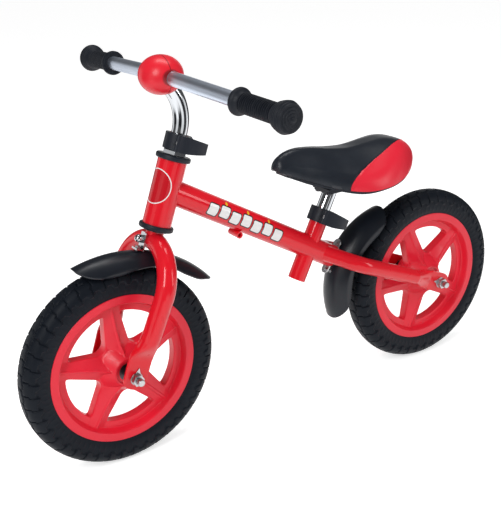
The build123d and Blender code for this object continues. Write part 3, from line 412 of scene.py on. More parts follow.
ballPlastic = Finish("ballPlastic", Roughness=0.33, Coat_Weight=0.2, Coat_Roughness=0.25, Specular_IOR_Level=0.35)
ballPlastic.set(Roughness=ballPlastic.noise(200, 3) * 0.12 + 0.30)
low, high = nodeBox("ball_cover_front", "ball_cover_rear")
barCentre = (low + high) / 2
ball = {"seam": 0.0005, "mouth": 0.0275, "shade": 0.8}  # half width of the painted shade line along the seam, and where the painted shade at the two mouths starts
ballSkin = ballPlastic.blend(ballPlastic.noise(25, 3), (0.76, 0.008, 0.022), (0.82, 0.014, 0.034))
# painted shade: the seam between the two halves and the two mouths where the bar passes are darkened in the base
# colour, standing in for the shade in the gap and in the openings
ballSeamShade = abs(ballPlastic.along((1, 0, 0), barCentre)).below(ball["seam"], 0.0002)
ballMouthShade = abs(ballPlastic.along((0, 1, 0), barCentre)).above(ball["mouth"], 0.0008)
ballPlastic.set(Base_Color=ballPlastic.blend(ballSeamShade.most(ballMouthShade) * ball["shade"], ballSkin, (0.10, 0.002, 0.004)))

vinyl = Finish("saddleVinyl", Roughness=0.36, Specular_IOR_Level=0.45)
seamSide = vinyl.attribute("seam")
redSide = seamSide.above(0.0, 0.25)
blackVinyl = vinyl.blend(vinyl.noise(30, 3), (0.008, 0.011, 0.018), (0.014, 0.019, 0.028))
redVinyl = vinyl.blend(vinyl.noise(26, 3), (0.78, 0.010, 0.030), (0.84, 0.016, 0.042))
vinyl.set(Base_Color=vinyl.blend(redSide, blackVinyl, redVinyl))
vinyl.set(Roughness=vinyl.noise(120, 3) * 0.12 + 0.30)
vinyl.relief(vinyl.cells(900, "SMOOTH_F1") * 0.7 + vinyl.noise(500, 3) * 0.5, 0.16, 0.0003)
print("finishes made")

plainNodes = {
    "main_paint": (mainPaint, ["main_tube"]),
    "head_paint": (headPaint, ["head_tube"]),
    "frame_paint": (enamel, ["seat_tube", "left_stay", "right_stay", "cross_boss",
                             "steerer_tube", "fork_blades"]),
    "chrome": (chrome, ["stem", "seat_post", "headset_locknut", "front_guard_bracket"]),
    "bar": (barMetal, ["handlebar_tube"]),
    "zinc_steel": (darkSteel, ["front_axle_spacers", "rear_axle_spacers", "front_wheel_bearings",
                               "rear_wheel_bearings", "upper_headset_bearing", "lower_headset_bearing", "crown_race",
                               "saddle_screws"]),
    "bright_zinc": (zinc, ["front_guard_bolts", "front_guard_nuts", "rear_guard_bolts", "rear_guard_nuts",
                          "rear_guard_strap", "stem_clamp_bolt", "seat_clamp_bolt", "stem_clamp_nut",
                          "seat_clamp_nut", "front_axle", "rear_axle", "front_axle_nuts", "rear_axle_nuts",
                          "front_keeper_washers", "rear_keeper_washers"]),
    "black_plastic": (blackNylon, ["upper_headset_cup", "lower_headset_cup", "stem_clamp_collar", "seat_clamp_collar",
                                   "stem_clamp_lever", "seat_clamp_lever", "saddle_base", "saddle_plate"]),
    "guard": (guardPlastic, ["front_mudguard", "rear_mudguard"]),
    "ball": (ballPlastic, ["ball_cover_front", "ball_cover_rear"]),
}
for finish, names in plainNodes.values():
    for name in names:
        nodes[name].data.materials.clear()
        nodes[name].data.materials.append(finish.material)

# rims: radii and half widths in mm
rim = {"windows": 5, "outer": 83.0, "outerHalf": 27.5, "inner": 38.0, "innerHalf": 8.0, "corner": 8.5,
       "ringIn": 92.0, "flangeIn": 97.5, "edge": 109.0, "half": 19.0, "web": 7.5, "hub": 21.0,
       "hubHalf": 30.0, "bore": 13.06, "boreDepth": 27.0, "seat": 103.1, "seatHalf": 16.0,
       "ridge": (29.0, 18.5, 13.6, 10.8), "rib": 0.9, "ribHalf": 1.9, "round": 1.3,
       "arcSteps": 72, "sideSteps": 44, "hubSteps": 24, "rows": 22}


def arc(radius, start, stop, count):
    angle = np.radians(np.linspace(start, stop, count, endpoint=False))
    return radius * np.stack([np.cos(angle), np.sin(angle)], -1)


def straight(start, stop, count):
    t = np.linspace(0, 1, count, endpoint=False)[:, None]
    return np.asarray(start) * (1 - t) + np.asarray(stop) * t


def windowLoop(s):
    # a window's outline with rounded corners: the sharp outline averaged over a short stretch of its own length
    fine = 0.25
    wide, narrow = s["outerHalf"], s["innerHalf"]
    a, b = arc(s["outer"], -wide, wide, 2)[0], arc(s["outer"], wide, wide + 1, 2)[0]
    c, d = arc(s["inner"], narrow, narrow + 1, 2)[0], arc(s["inner"], -narrow, 0, 2)[0]
    lengths = [math.radians(2 * wide) * s["outer"], np.linalg.norm(b - c), np.linalg.norm(c - d), np.linalg.norm(d - a)]
    counts = [int(round(length / fine)) for length in lengths]
    sharp = np.vstack([arc(s["outer"], -wide, wide, counts[0]), straight(b, c, counts[1]),
                       straight(c, d, counts[2]), straight(d, a, counts[3])])
    reach = int(s["corner"] / fine)
    weights = np.hanning(2 * reach + 3)[1:-1]
    weights /= weights.sum()
    padded = np.vstack([sharp[-reach:], sharp, sharp[:reach]])
    soft = np.stack([np.convolve(padded[:, k], weights, "valid") for k in (0, 1)], -1)
    corners = np.concatenate([[0], np.cumsum(counts)])
    steps = [s["arcSteps"], s["sideSteps"], s["hubSteps"], s["sideSteps"]]
    index = np.concatenate([np.linspace(corners[k], corners[k + 1], steps[k], endpoint=False) for k in range(4)])
    whole = np.arange(len(soft) + 1)
    closed = np.vstack([soft, soft[:1]])
    return np.stack([np.interp(index, whole, closed[:, k]) for k in (0, 1)], -1)


def faceHeight(s, radius, fromSpoke):
    # half thickness of the wheel: web, roof-shaped spokes with a rib on the ridge, hub cone and stepped flange
    halfSpoke = np.interp(radius, [s["hub"], s["inner"], s["outer"], s["flangeIn"]], [13.0, 18.0, 12.8, 12.8])
    ridge = np.interp(radius, [s["hub"], s["inner"], 58.0, s["ringIn"]], s["ridge"])
    roof = s["web"] + (ridge - s["web"]) * np.clip(1 - fromSpoke / halfSpoke, 0, 1)
    cone = np.interp(radius, [s["hub"], s["hub"] + 6, s["inner"] - 2, s["inner"] + 5],
                     [s["hubHalf"], 21.5, s["web"] + 2, s["web"]])
    rib = s["rib"] * (1 - easeStep(fromSpoke, s["ribHalf"] - 0.6, s["ribHalf"] + 0.7))
    spoke = np.maximum(roof, cone) + rib * easeStep(radius, s["hub"] + 1, s["hub"] + 9)
    step = s["web"] + (s["half"] - s["web"]) * easeStep(radius, s["ringIn"] + 0.5, s["flangeIn"])
    over = np.clip(radius - (s["edge"] - 1.2), 0, 1.2)
    edgeRound = 1.2 - np.sqrt(np.maximum(1.44 - over ** 2, 0))
    return np.maximum(spoke, step) - edgeRound


def makeRim(s, name, body, hub, phase, node):
    # each sector is a grid from its window's edge to its outline, lifted to the face height on both sides
    pitch = 360 / s["windows"]
    window = windowLoop(s)
    ringEnds = [arc(s["ringIn"], side * pitch / 2, 90, 2)[0] for side in (-1, 1)]
    hubEnds = [arc(s["hub"], side * pitch / 2, 90, 2)[0] for side in (-1, 1)]
    sector = np.vstack([arc(s["ringIn"], -pitch / 2, pitch / 2, s["arcSteps"]),
                        straight(ringEnds[1], hubEnds[1], s["sideSteps"]),
                        arc(s["hub"], pitch / 2, -pitch / 2, s["hubSteps"]),
                        straight(hubEnds[0], ringEnds[0], s["sideSteps"])])
    gap = np.linalg.norm(sector - window, axis=1)
    near = np.array([0, 0.12, 0.35, 0.75, 1.3])
    share = 1 - (1 - np.linspace(0, 1, s["rows"])) ** 1.6
    reach = np.vstack([np.broadcast_to(near[:, None], (len(near), len(window))),
                       1.3 + (gap[None] - 1.3) * share[1:, None]])
    spread = window[None] + (sector - window)[None] * (reach / gap[None])[..., None]
    radius = np.linalg.norm(spread, axis=-1)
    angle = np.degrees(np.arctan2(spread[..., 1], spread[..., 0]))
    fromSpoke = radius * np.sin(np.radians(np.clip(pitch / 2 - np.abs(angle), 0, 90)))
    height = faceHeight(s, radius, fromSpoke)
    lip = np.clip(1.3 - reach, 0, 1.3)
    height = height - (1.3 - np.sqrt(np.maximum(1.69 - lip ** 2, 0)))
    sheets, faces, start = [], [], 0

    def put(flat, y, wrapColumns=True, flip=False):
        # one sheet of the rim, from plane coordinates and distance from the wheel's middle plane
        nonlocal start
        turnBy = math.radians(phase)
        x = flat[..., 0] * math.cos(turnBy) - flat[..., 1] * math.sin(turnBy)
        z = flat[..., 0] * math.sin(turnBy) + flat[..., 1] * math.cos(turnBy)
        grid = np.stack([x, y, z], -1)
        quads = gridFaces(grid.shape[0], grid.shape[1], False, wrapColumns, start)
        sheets.append(grid.reshape(-1, 3))
        faces.append(quads[:, ::-1] if flip else quads)
        start += grid.shape[0] * grid.shape[1]

    ringR = np.array([92, 92.5, 93, 93.6, 94.2, 94.8, 95.4, 96, 96.6, 97.1, 97.5, 98.2, 100, 102, 105, 107,
                      107.8, 108.2, 108.5, 108.75, 108.92, 109.0])
    ringAngle = np.radians(np.arange(s["windows"] * s["arcSteps"]) * pitch / s["arcSteps"] - pitch / 2)
    hubAngle = np.radians(np.arange(s["windows"] * s["hubSteps"]) * pitch / s["hubSteps"] - pitch / 2)
    ring = ringR[:, None, None] * np.stack([np.cos(ringAngle), np.sin(ringAngle)], -1)[None]
    offSpoke = np.abs((np.degrees(ringAngle) + pitch / 2) % pitch - pitch / 2)
    ringHeight = faceHeight(s, np.broadcast_to(ringR[:, None], ring.shape[:2]),
                            ringR[:, None] * np.sin(np.radians(offSpoke))[None])
    lipR = np.array([21.0, 20.7, 20.2, 19.5, 18.4, 17.9, 17.6, 17.5])
    lipY = np.array([30.0, 30.5, 30.8, 31.0, 31.0, 30.85, 30.5, 30.0]) - 0.9
    hubFlat = lipR[:, None, None] * np.stack([np.cos(hubAngle), np.sin(hubAngle)], -1)[None]
    hubTop = faceHeight(s, np.array([s["hub"]]), np.array([0.0]))[0]
    lipY = np.where(lipR >= 21.0, hubTop, lipY)
    for side in (1, -1):
        for k in range(s["windows"]):
            mid = math.radians(pitch * k + pitch / 2)
            swing = np.array([[math.cos(mid), math.sin(mid)], [-math.sin(mid), math.cos(mid)]])
            put(spread @ swing, side * height, True, side < 0)
        put(ring, side * ringHeight, True, side < 0)
        put(hubFlat, side * np.broadcast_to(lipY[:, None], hubFlat.shape[:2]), True, side < 0)
    depth = np.linspace(1, -1, 5)
    for k in range(s["windows"]):
        mid = math.radians(pitch * k + pitch / 2)
        swing = np.array([[math.cos(mid), math.sin(mid)], [-math.sin(mid), math.cos(mid)]])
        wall = np.broadcast_to((window @ swing)[None], (5, len(window), 2))
        put(wall, depth[:, None] * height[0][None], True)
    barrel = np.array([[109.0, ringHeight[-1, 0]], [109.0, s["seatHalf"]], [s["seat"], s["seatHalf"]],
                       [s["seat"], -s["seatHalf"]], [109.0, -s["seatHalf"]], [109.0, -ringHeight[-1, 0]]])
    rimUnit = np.stack([np.cos(ringAngle), np.sin(ringAngle)], -1)
    put(barrel[:, None, :1] * rimUnit[None], np.broadcast_to(barrel[:, None, 1], (6, len(ringAngle))), True)
    bore = np.array([[17.5, lipY[-1]], [17.5, s["boreDepth"]], [s["bore"], s["boreDepth"]],
                     [s["bore"], -s["boreDepth"]], [17.5, -s["boreDepth"]], [17.5, -lipY[-1]]])
    hubUnit = np.stack([np.cos(hubAngle), np.sin(hubAngle)], -1)
    put(bore[:, None, :1] * hubUnit[None], np.broadcast_to(bore[:, None, 1], (6, len(hubAngle))), True)
    points = np.vstack(sheets) * mm + hub
    mesh = buildMesh(name, points, faces, 30.0)
    weld(mesh, 30.0, 2e-5)
    return addPiece(name, mesh, body, rimNylon, node)


makeRim(rim, "frontRim", "front_wheel", frontHub, 12.0, "front_rim")
makeRim(rim, "rearRim", "rear_wheel", rearHub, -3.0, "rear_rim")
print("rims made")

# tyres: sizes in mm, with distances along the skin measured from the crown
tread = {"lugs": 44, "perLug": 22, "wheel": 145.0, "centre": 122.2, "halfWidth": 21.0, "squareness": 2.45,
         "depth": 1.7, "grooveHalf": 1.0, "soft": 0.6, "centreHalf": 6.2, "rowGap": 7.6, "zigzag": 1.3,
         "shoulderOut": 29.0, "step": 2.7, "jog": 0.15, "jogAt": 18.0, "chevron": 0.30, "ribHeight": 0.35,
         "ribsFrom": 35.0, "ribsTo": 43.0, "rings": (47.5, 50.5), "ringHeight": 0.4, "bead": (15.9, 109.3, 103.15)}


def tyreSection(s):
    # superellipse |y/a|^n + |(r-c)/b|^n = 1, sampled by its own length from the crown: fine where the blocks are
    phi = np.linspace(math.radians(90), math.radians(-44), 4000)
    power, tall = 2 / s["squareness"], s["wheel"] - s["depth"] - s["centre"]
    y = s["halfWidth"] * np.sign(np.cos(phi)) * np.abs(np.cos(phi)) ** power
    r = s["centre"] + tall * np.sign(np.sin(phi)) * np.abs(np.sin(phi)) ** power
    length = np.concatenate([[0], np.cumsum(np.hypot(np.diff(y), np.diff(r)))])
    end = length[-1]
    along = np.concatenate([np.linspace(0, 33, 32), np.linspace(33, 46.5, 7)[1:], np.linspace(46.5, end, 10)[1:]])
    y, r = np.interp(along, length, y), np.interp(along, length, r)
    half = np.stack([y, r, along], -1)
    other = half[1:] * [-1, 1, -1]
    seatY, seatTop, seatLow = s["bead"]
    seat = np.array([[-seatY, seatTop, -99], [-seatY, seatLow, -99], [seatY, seatLow, 99], [seatY, seatTop, 99]])
    return np.vstack([half[::-1], other, seat]), len(half) + len(other)


def makeTyre(s, name, body, hub, node):
    # the section carried round the wheel, with low stepped blocks standing on it
    turns = s["lugs"] * s["perLug"]
    theta = np.linspace(0, 2 * np.pi, turns, endpoint=False)
    section, skin = tyreSection(s)
    tangent = np.roll(section[:, :2], -1, 0) - np.roll(section[:, :2], 1, 0)
    outward = np.stack([tangent[:, 1], -tangent[:, 0]], -1)
    outward /= np.linalg.norm(outward, axis=1)[:, None]
    outward *= np.sign((outward * (section[:, :2] - [0, s["centre"]])).sum(1))[:, None]
    away = np.abs(section[None, :, 2])
    turn = theta[:, None] * s["lugs"] / (2 * np.pi)
    pitch = 2 * np.pi * s["wheel"] / s["lugs"]

    def fromWhole(value):  # distance in millimetres from the nearest whole lug
        return np.abs((value + 0.5) % 1 - 0.5) * pitch

    wave = np.abs((turn + 0.25) % 1 - 0.5) * 4 - 1
    jog = s["jog"] * (easeStep(away, s["jogAt"] - 1.2, s["jogAt"] + 1.2) - 0.5)
    shoulder = fromWhole(turn + jog * np.sign(section[None, :, 2]))
    middle = fromWhole(turn + 0.5 + s["chevron"] * away / s["centreHalf"] * 0.5)
    rowLine = s["rowGap"] + s["zigzag"] * wave
    groove = np.where(away > rowLine, shoulder, middle)
    nearest = np.minimum(groove, np.abs(away - rowLine))
    raised = easeStep(nearest, s["grooveHalf"] - s["soft"], s["grooveHalf"] + s["soft"])
    outEdge = s["shoulderOut"] + s["step"] * np.clip(2.6 * wave, -1, 1)
    raised = raised * (1 - easeStep(away, outEdge - 0.9, outEdge + 0.9))
    ribs = (easeStep(away, s["ribsFrom"] - 1.5, s["ribsFrom"] + 1.5)
            * (1 - easeStep(away, s["ribsTo"] - 1.5, s["ribsTo"] + 1.5)))
    lift = s["depth"] * raised + s["ribHeight"] * ribs * np.maximum(np.cos(4 * np.pi * turn), 0) ** 2
    for ring in s["rings"]:
        lift = lift + s["ringHeight"] * np.exp(-((away - ring) / 0.8) ** 2)
    lift = np.where((np.arange(len(section)) < skin)[None], lift, 0)
    place = section[None, :, :2] + outward[None] * lift[..., None]
    x = place[..., 1] * np.cos(theta)[:, None]
    z = place[..., 1] * np.sin(theta)[:, None]
    points = np.stack([x, place[..., 0], z], -1) * mm + hub
    mesh = buildMesh(name, points, [gridFaces(turns, len(section), True, True)], 40.0)
    return addPiece(name, mesh, body, foamTyre, node)


makeTyre(tread, "frontTyre", "front_wheel", frontHub, "front_tyre")
makeTyre(tread, "rearTyre", "rear_wheel", rearHub, "rear_tyre")
print("tyres made")

# fork: heights above the hub and half spreads in mm
fork = {"tube": 13.5, "crownHeight": 181.5, "crownSpread": 63.5, "springHeight": 120.5,
        "legHeight": [-16, 20, 34, 50, 68, 90, 120.5], "legSpread": [50, 50, 51.0, 54.5, 57.5, 60.0, 63.5],
        "plateHalf": 2.5, "plateWide": 17.5, "taperFrom": 24.0, "taperTo": 58.0, "round": 15.0, "offset": 4.5,
        "legSteps": 120, "crownSteps": 56, "aroundSteps": 56}


def makeFork(s):
    # a tube over the wheel whose section turns from a circle into a flat plate towards each foot
    height = np.asarray(s["legHeight"], float)
    rise = np.concatenate([np.linspace(-16, -14, 9), np.linspace(-14, s["springHeight"], s["legSteps"])[1:]])
    spread = smoothTrack(height[::-1], s["legSpread"][::-1], rise)
    bend = np.linspace(0, np.pi, s["crownSteps"])[1:-1]
    over = s["crownHeight"] - s["springHeight"]
    y = np.concatenate([spread, s["crownSpread"] * np.cos(bend), -spread[::-1]])
    h = np.concatenate([rise, s["springHeight"] + over * np.sin(bend), rise[::-1]])
    way = np.stack([np.gradient(y), np.gradient(h)], -1)
    way /= np.linalg.norm(way, axis=1)[:, None]
    flat = 1 - easeStep(h, s["taperFrom"], s["taperTo"])
    thin = s["tube"] + (s["plateHalf"] - s["tube"]) * flat ** 0.8
    wide = s["tube"] + (s["plateWide"] - s["tube"]) * easeStep(flat, 0.25, 1.0)
    foot = np.clip((h[0] + s["round"] - h) / s["round"], 0, 1)
    wide = wide * np.maximum(1 - foot ** 2.6, 0.002) ** (1 / 2.6)
    edge = (2 + 5 * flat)[:, None]
    angle = np.linspace(0, 2 * np.pi, s["aroundSteps"], endpoint=False)[None]
    across = thin[:, None] * np.sign(np.cos(angle)) * np.abs(np.cos(angle)) ** (2 / edge)
    ahead = wide[:, None] * np.sign(np.sin(angle)) * np.abs(np.sin(angle)) ** (2 / edge)
    ahead = ahead + (s["offset"] * flat)[:, None]
    sideways = y[:, None] + across * way[:, 1:2]
    upward = h[:, None] - across * way[:, 0:1]
    base = frontHub - steerAhead * s["offset"] * mm
    loop = (ahead[..., None] * steerAhead + sideways[..., None] * np.array([0, 1, 0])
            + upward[..., None] * steerUp) * mm + base
    tips = loop[[0, -1]].mean(1)
    rows, columns = loop.shape[:2]
    points = np.vstack([loop.reshape(-1, 3), tips])
    faces = [gridFaces(rows, columns, False, True), fanFaces(0, columns, rows * columns)[:, ::-1],
             fanFaces((rows - 1) * columns, columns, rows * columns + 1)]
    mesh = buildMesh("forkTube", points, faces, 42.0)
    return addPiece("forkTube", mesh, "fork", enamel, "fork_blades")


def smoothTrack(stations, values, at):
    # a curve through the stations, with slopes from their neighbours; the stations run downwards
    stations, values = np.asarray(stations, float)[::-1], np.asarray(values, float)[::-1]
    slope = np.gradient(values, stations)
    k = np.clip(np.searchsorted(stations, at) - 1, 0, len(stations) - 2)
    step = stations[k + 1] - stations[k]
    t = (at - stations[k]) / step
    a, b = values[k], values[k + 1]
    return ((2 * t ** 3 - 3 * t ** 2 + 1) * a + (t ** 3 - 2 * t ** 2 + t) * step * slope[k]
            + (3 * t ** 2 - 2 * t ** 3) * b + (t ** 3 - t ** 2) * step * slope[k + 1])


makeFork(fork)
dome = {"radius": 5.6, "reach": 16.4, "nut": 4.6}
domeAngle = np.linspace(0, np.pi * 0.86, 20)
domeProfile = np.stack([dome["reach"] + dome["nut"] + 1.5 + dome["radius"] * np.cos(domeAngle),
                        dome["radius"] * np.sin(domeAngle)], -1)[1:]
domeProfile = np.vstack([domeProfile, [[dome["reach"] + 0.4, 4.6], [dome["reach"], 4.0]]])[::-1] * mm
turnedPiece("crownDome", domeProfile, frontHub - steerAhead * fork["offset"] * mm + steerUp * fork["crownHeight"] * mm,
            steerAhead, "fork", chrome, turns=40, closed=False)
print("fork made")

# grips: distances from the bar's centre and radii in mm
hold = {"reach": 260.0, "sweep": 4.3, "droop": 3.0, "bore": 9.56, "body": 11.7, "knob": 19.3,
        "bodyEnd": 228.0, "knobEnd": 252.0, "rib": 1.1, "pitch": 3.5}


def gripProfile(s):
    # distance from the bar's centre and radius: dished flange, ribbed body, ribbed knob, stepped end
    flange = np.array([[157.8, s["bore"]], [158.4, 11.5], [158.0, 14.5], [157.0, 16.0], [157.2, 16.7], [158.4, 17.2],
                       [160.4, 17.2], [162.2, 16.6], [163.6, 15.0], [165.2, 13.2], [167.5, 12.2]])
    along = np.arange(168.5, s["bodyEnd"] - 1.0, 0.31)
    ribs = s["rib"] * np.clip(np.sin(2 * np.pi * (along - 168.5) / s["pitch"]) * 1.6, -1, 1)
    shape = np.stack([along, s["body"] + ribs], -1)
    swell = np.linspace(0, 1, 60)[1:]
    knobAlong = s["bodyEnd"] - 1 + swell * (s["knobEnd"] - s["bodyEnd"] + 1)
    bulge = np.sin(np.clip(swell * 0.5 + 0.0, 0, 1) * np.pi) ** 0.72
    taper = 1 - 0.10 * easeStep(swell, 0.72, 1.0)
    knobR = s["body"] + (s["knob"] - s["body"]) * np.clip(bulge * 1.06, 0, 1)
    knobR = knobR * taper + 0.45 * np.sin(2 * np.pi * knobAlong / 3.6) * easeStep(swell, 0.15, 0.3)
    knob = np.stack([knobAlong, knobR], -1)
    last = knobR[-1]
    face = np.array([[253.0, last - 0.5], [253.3, last - 1.6], [253.2, 13.6], [254.1, 13.2], [254.3, 11.0],
                     [254.1, 10.6], [254.2, 10.2], [255.0, 9.8], [255.2, 7.4], [255.0, 7.0], [255.1, 6.6],
                     [255.8, 6.2], [256.0, 3.6], [256.2, 3.2], [257.0, 2.6], [257.2, 1.0]])
    inside = np.array([[250.4, 1.0], [250.4, s["bore"]]])
    return flange, shape, knob, face, inside


flange, shape, knob, face, inside = gripProfile(hold)
for sign, name, node in ((1, "leftGrip", "left_grip"), (-1, "rightGrip", "right_grip")):
    way = np.array([-math.tan(math.radians(hold["sweep"])), sign, -math.tan(math.radians(hold["droop"]))])
    way /= np.linalg.norm(way)
    outer = (np.vstack([flange, shape, knob, face]) + [hold["reach"] - 250, 0]) * mm
    grid = turned(outer, barCentre, way, 84)
    innerGrid = turned((inside[::-1] + [hold["reach"] - 250, 0]) * mm, barCentre, way, 84)
    rows = len(outer) + 2
    points = np.vstack([innerGrid[1:2].reshape(-1, 3), innerGrid[0:1].reshape(-1, 3), grid.reshape(-1, 3)])
    tips = barCentre + (np.array([[0.4], [7.2]]) + hold["reach"]) * mm * way
    points = np.vstack([points, tips])
    faces = [gridFaces(rows, 84, False, True), fanFaces(0, 84, rows * 84)[:, ::-1],
             fanFaces((rows - 1) * 84, 84, rows * 84 + 1)]
    addPiece(name, buildMesh(name, points, faces, 45.0), "handlebar", gripRubber, node)
print("grips made")

# saddle: stations along x with half width, lower edge and top, in mm
saddle = {"nose": 15.0, "tail": -250.0, "alongSteps": 220, "aroundSteps": 220,
          "x": [15, 11, 0, -12, -25, -42, -60, -80, -100, -118, -135, -152, -170, -188, -205, -221, -235, -245, -250],
          "half": [2, 9.5, 17, 22.5, 27, 32.5, 40, 52, 63, 69, 71, 70, 65.5, 58, 48, 36, 23, 12, 3],
          "low": [379, 375.5, 371, 366.5, 361, 354.5, 347.5, 341.8, 338.3, 337, 337.2, 337.9, 339.6, 341.6,
                  344.2, 347.5, 351.5, 355, 357.5],
          "top": [381, 388.5, 397.5, 401.5, 403, 402, 399.6, 396, 393.4, 392, 392.5, 394, 395.5, 396, 393.5, 387.5,
                  378, 368, 361],
          "seamAcross": [0, 0.2, 0.38, 0.46, 0.5, 0.54, 0.6, 0.7, 0.85, 1.0],
          "seamX": [-230, -226, -210, -192, -166, -141, -126, -111, -98, -86]}


def makeSaddle(s):
    # across each station the cover is a narrow raised crown blended with a wide dome, then a rounded lip underneath
    u = np.linspace(0, 1, s["alongSteps"])
    x = s["nose"] + (s["tail"] - s["nose"]) * (0.5 - 0.5 * np.cos(np.pi * u))
    half = np.maximum(smoothTrack(s["x"], s["half"], x), 1.0)
    lowEdge = smoothTrack(s["x"], s["low"], x)
    top = smoothTrack(s["x"], s["top"], x)
    v = np.linspace(-1, 1, s["aroundSteps"])
    eta = np.sin(v * np.pi / 2) * 0.25 + v * 0.75
    bell = 0.34 * easeStep(x, -215, -120) * (1 - 0.5 * easeStep(x, -20, 10))
    wide = (1 - np.abs(eta)[None] ** 3.4) ** 0.55
    narrow = 1 - easeStep(np.abs(eta)[None], 0.12, 0.80)
    rise = (1 - bell[:, None]) * wide + bell[:, None] * narrow
    y = half[:, None] * eta[None]
    z = lowEdge[:, None] + (top - lowEdge)[:, None] * rise
    lipDown = 1.2
    under = np.array([0.0, 0.5, 0.85, 1.0])
    lipRows = []
    for sign in (1, -1):
        lipY = sign * (half[:, None] - under[None] * 4.5 * np.minimum(half / 12, 1)[:, None])
        lipZ = lowEdge[:, None] - lipDown * np.sin(np.clip(under, 0, 0.85) / 0.85 * np.pi)[None] * 0.9
        lipRows.append(np.stack([np.broadcast_to(x[:, None], lipY.shape), lipY, lipZ], -1)[:, 1:])
    cover = np.stack([np.broadcast_to(x[:, None], y.shape), y, z], -1)
    loop = np.concatenate([cover, lipRows[0], lipRows[1][:, ::-1]], 1)
    across = np.concatenate([np.abs(v), np.full(6, 1.0)])
    lengthwise = loop[..., 0]
    seamAt = np.interp(across, s["seamAcross"], s["seamX"])[None]
    fromSeam = (seamAt - lengthwise) * 0.78
    sink = 0.9 * np.exp(-(fromSeam / 1.3) ** 2) - 0.45 * np.exp(-((fromSeam - 2.6) / 1.4) ** 2)
    centre = np.stack([x, 0 * x, lowEdge], -1)[:, None]
    inward = centre - loop
    inward /= np.maximum(np.linalg.norm(inward, axis=-1), 1e-6)[..., None]
    loop = loop + inward * (sink * (across < 1.0)[None])[..., None]
    columns = loop.shape[1]
    tips = np.array([[s["nose"] + 0.6, 0, (lowEdge[0] + top[0]) / 2],
                     [s["tail"] - 0.6, 0, (lowEdge[-1] + top[-1]) / 2]])
    points = np.vstack([loop.reshape(-1, 3), tips]) * mm
    count = len(x) * columns
    faces = [gridFaces(len(x), columns, False, True), fanFaces(0, columns, count)[:, ::-1],
             fanFaces((len(x) - 1) * columns, columns, count + 1)]
    seam = np.concatenate([fromSeam.ravel(), [-50, 50]])
    mesh = buildMesh("saddleCover", points, faces, 60.0, {"seam": seam})
    piece = addPiece("saddleCover", mesh, "seat", vinyl, "saddle_pad")
    return piece


makeSaddle(saddle)
print("saddle made")

# mudguards: radii in mm, angles in degrees, and the share of the full width at each angle
guards = {
    "front": {"ridge": 194.0, "half": 27.0, "depth": 26.5, "tip": 60.0,
              "angle": [72.5, 75, 80, 88, 100, 113, 125, 132, 137, 139.5],
              "share": [0.25, 0.50, 0.75, 0.88, 0.75, 0.63, 0.70, 0.60, 0.35, 0.20]},
    "rear": {"ridge": 126.3, "half": 29.0, "depth": 25.0, "tip": 7.0,
             "angle": [-19.5, -12, -3, 8, 30, 52, 65, 73.5, 80],
             "share": [0.80, 0.92, 1.0, 1.0, 0.94, 1.0, 1.0, 0.92, 0.80]},
    "drop": 30.0, "lean": 85.0, "rearAhead": 67.5, "rearUp": 12.0, "wall": 2.6, "lip": 1.8,
    "alongSteps": 170, "acrossSteps": 61,
}


def makeGuard(s, common, name, body, centre, node):
    # an arched section carried round a circle and cut to a share of its width; a rolled lip closes the wall
    count = common["alongSteps"]
    u = -np.cos(np.linspace(0, np.pi, count))
    first, last = s["angle"][0], s["angle"][-1]
    mid, span = math.radians((first + last) / 2), math.radians(last - first) / 2
    knee = s["ridge"] - s["depth"] + (s["depth"] - s["half"] * 0.35) * 0.55
    eta = np.linspace(0, 1, 200)
    archY = np.concatenate([s["half"] * eta, np.full(20, s["half"])])
    archR = np.concatenate([knee + (s["ridge"] - knee) * (1 - eta ** 2.15),
                            np.linspace(knee, s["ridge"] - s["depth"], 21)[1:]])
    length = np.concatenate([[0], np.cumsum(np.hypot(np.diff(archY), np.diff(archR)))])
    degrees = np.degrees(mid + span * u)
    share = smoothTrack(s["angle"][::-1], s["share"][::-1], degrees)
    reach = length[-1] * share * np.maximum(1 - np.abs(u) ** s["tip"], 0) ** 0.5
    v = np.linspace(-1, 1, common["acrossSteps"])
    travelled = np.abs(v)[None] * reach[:, None]
    outY = np.sign(v)[None] * np.interp(travelled, length, archY)
    outR = np.interp(travelled, length, archR)
    normalY = np.sign(v)[None] * np.interp(travelled, length, -np.gradient(archR, length))
    normalR = np.interp(travelled, length, np.gradient(archY, length))
    size = np.hypot(normalY, normalR)
    normalY, normalR = normalY / size, normalR / size
    shellWall = common["wall"] * np.clip(reach / 8, 0.15, 1)[:, None]
    inY, inR = outY - normalY * shellWall, outR - normalR * shellWall
    edge = np.linspace(0, np.pi, 7)[1:-1]
    lipSize = common["lip"] * np.clip(reach / 8, 0.1, 1)

    def lipOf(column, sign):
        # a half round bead that joins the outer and inner skins
        cy, cr = (outY[:, column] + inY[:, column]) / 2, (outR[:, column] + inR[:, column]) / 2
        ny, nr = normalY[:, column], normalR[:, column]
        ty, tr = sign * nr, -sign * ny
        y = cy[:, None] + lipSize[:, None] * (np.cos(edge) * ny[:, None] + np.sin(edge) * ty[:, None])
        r = cr[:, None] + lipSize[:, None] * (np.cos(edge) * nr[:, None] + np.sin(edge) * tr[:, None])
        return y, r

    rightY, rightR = lipOf(-1, 1)
    leftY, leftR = lipOf(0, -1)
    y = np.concatenate([outY, rightY, inY[:, ::-1], leftY[:, ::-1]], 1)
    r = np.concatenate([outR, rightR, inR[:, ::-1], leftR[:, ::-1]], 1)
    angle = mid + span * u
    x = r * np.cos(angle)[:, None]
    z = r * np.sin(angle)[:, None]
    loop = np.stack([x, y, z], -1)
    tips = loop[[0, -1]].mean(1)
    columns = loop.shape[1]
    points = np.vstack([loop.reshape(-1, 3), tips]) * mm + centre
    faces = [gridFaces(count, columns, False, True), fanFaces(0, columns, count * columns)[:, ::-1],
             fanFaces((count - 1) * columns, columns, count * columns + 1)]
    return addPiece(name, buildMesh(name, points, faces, 50.0), body, guardPlastic, node)


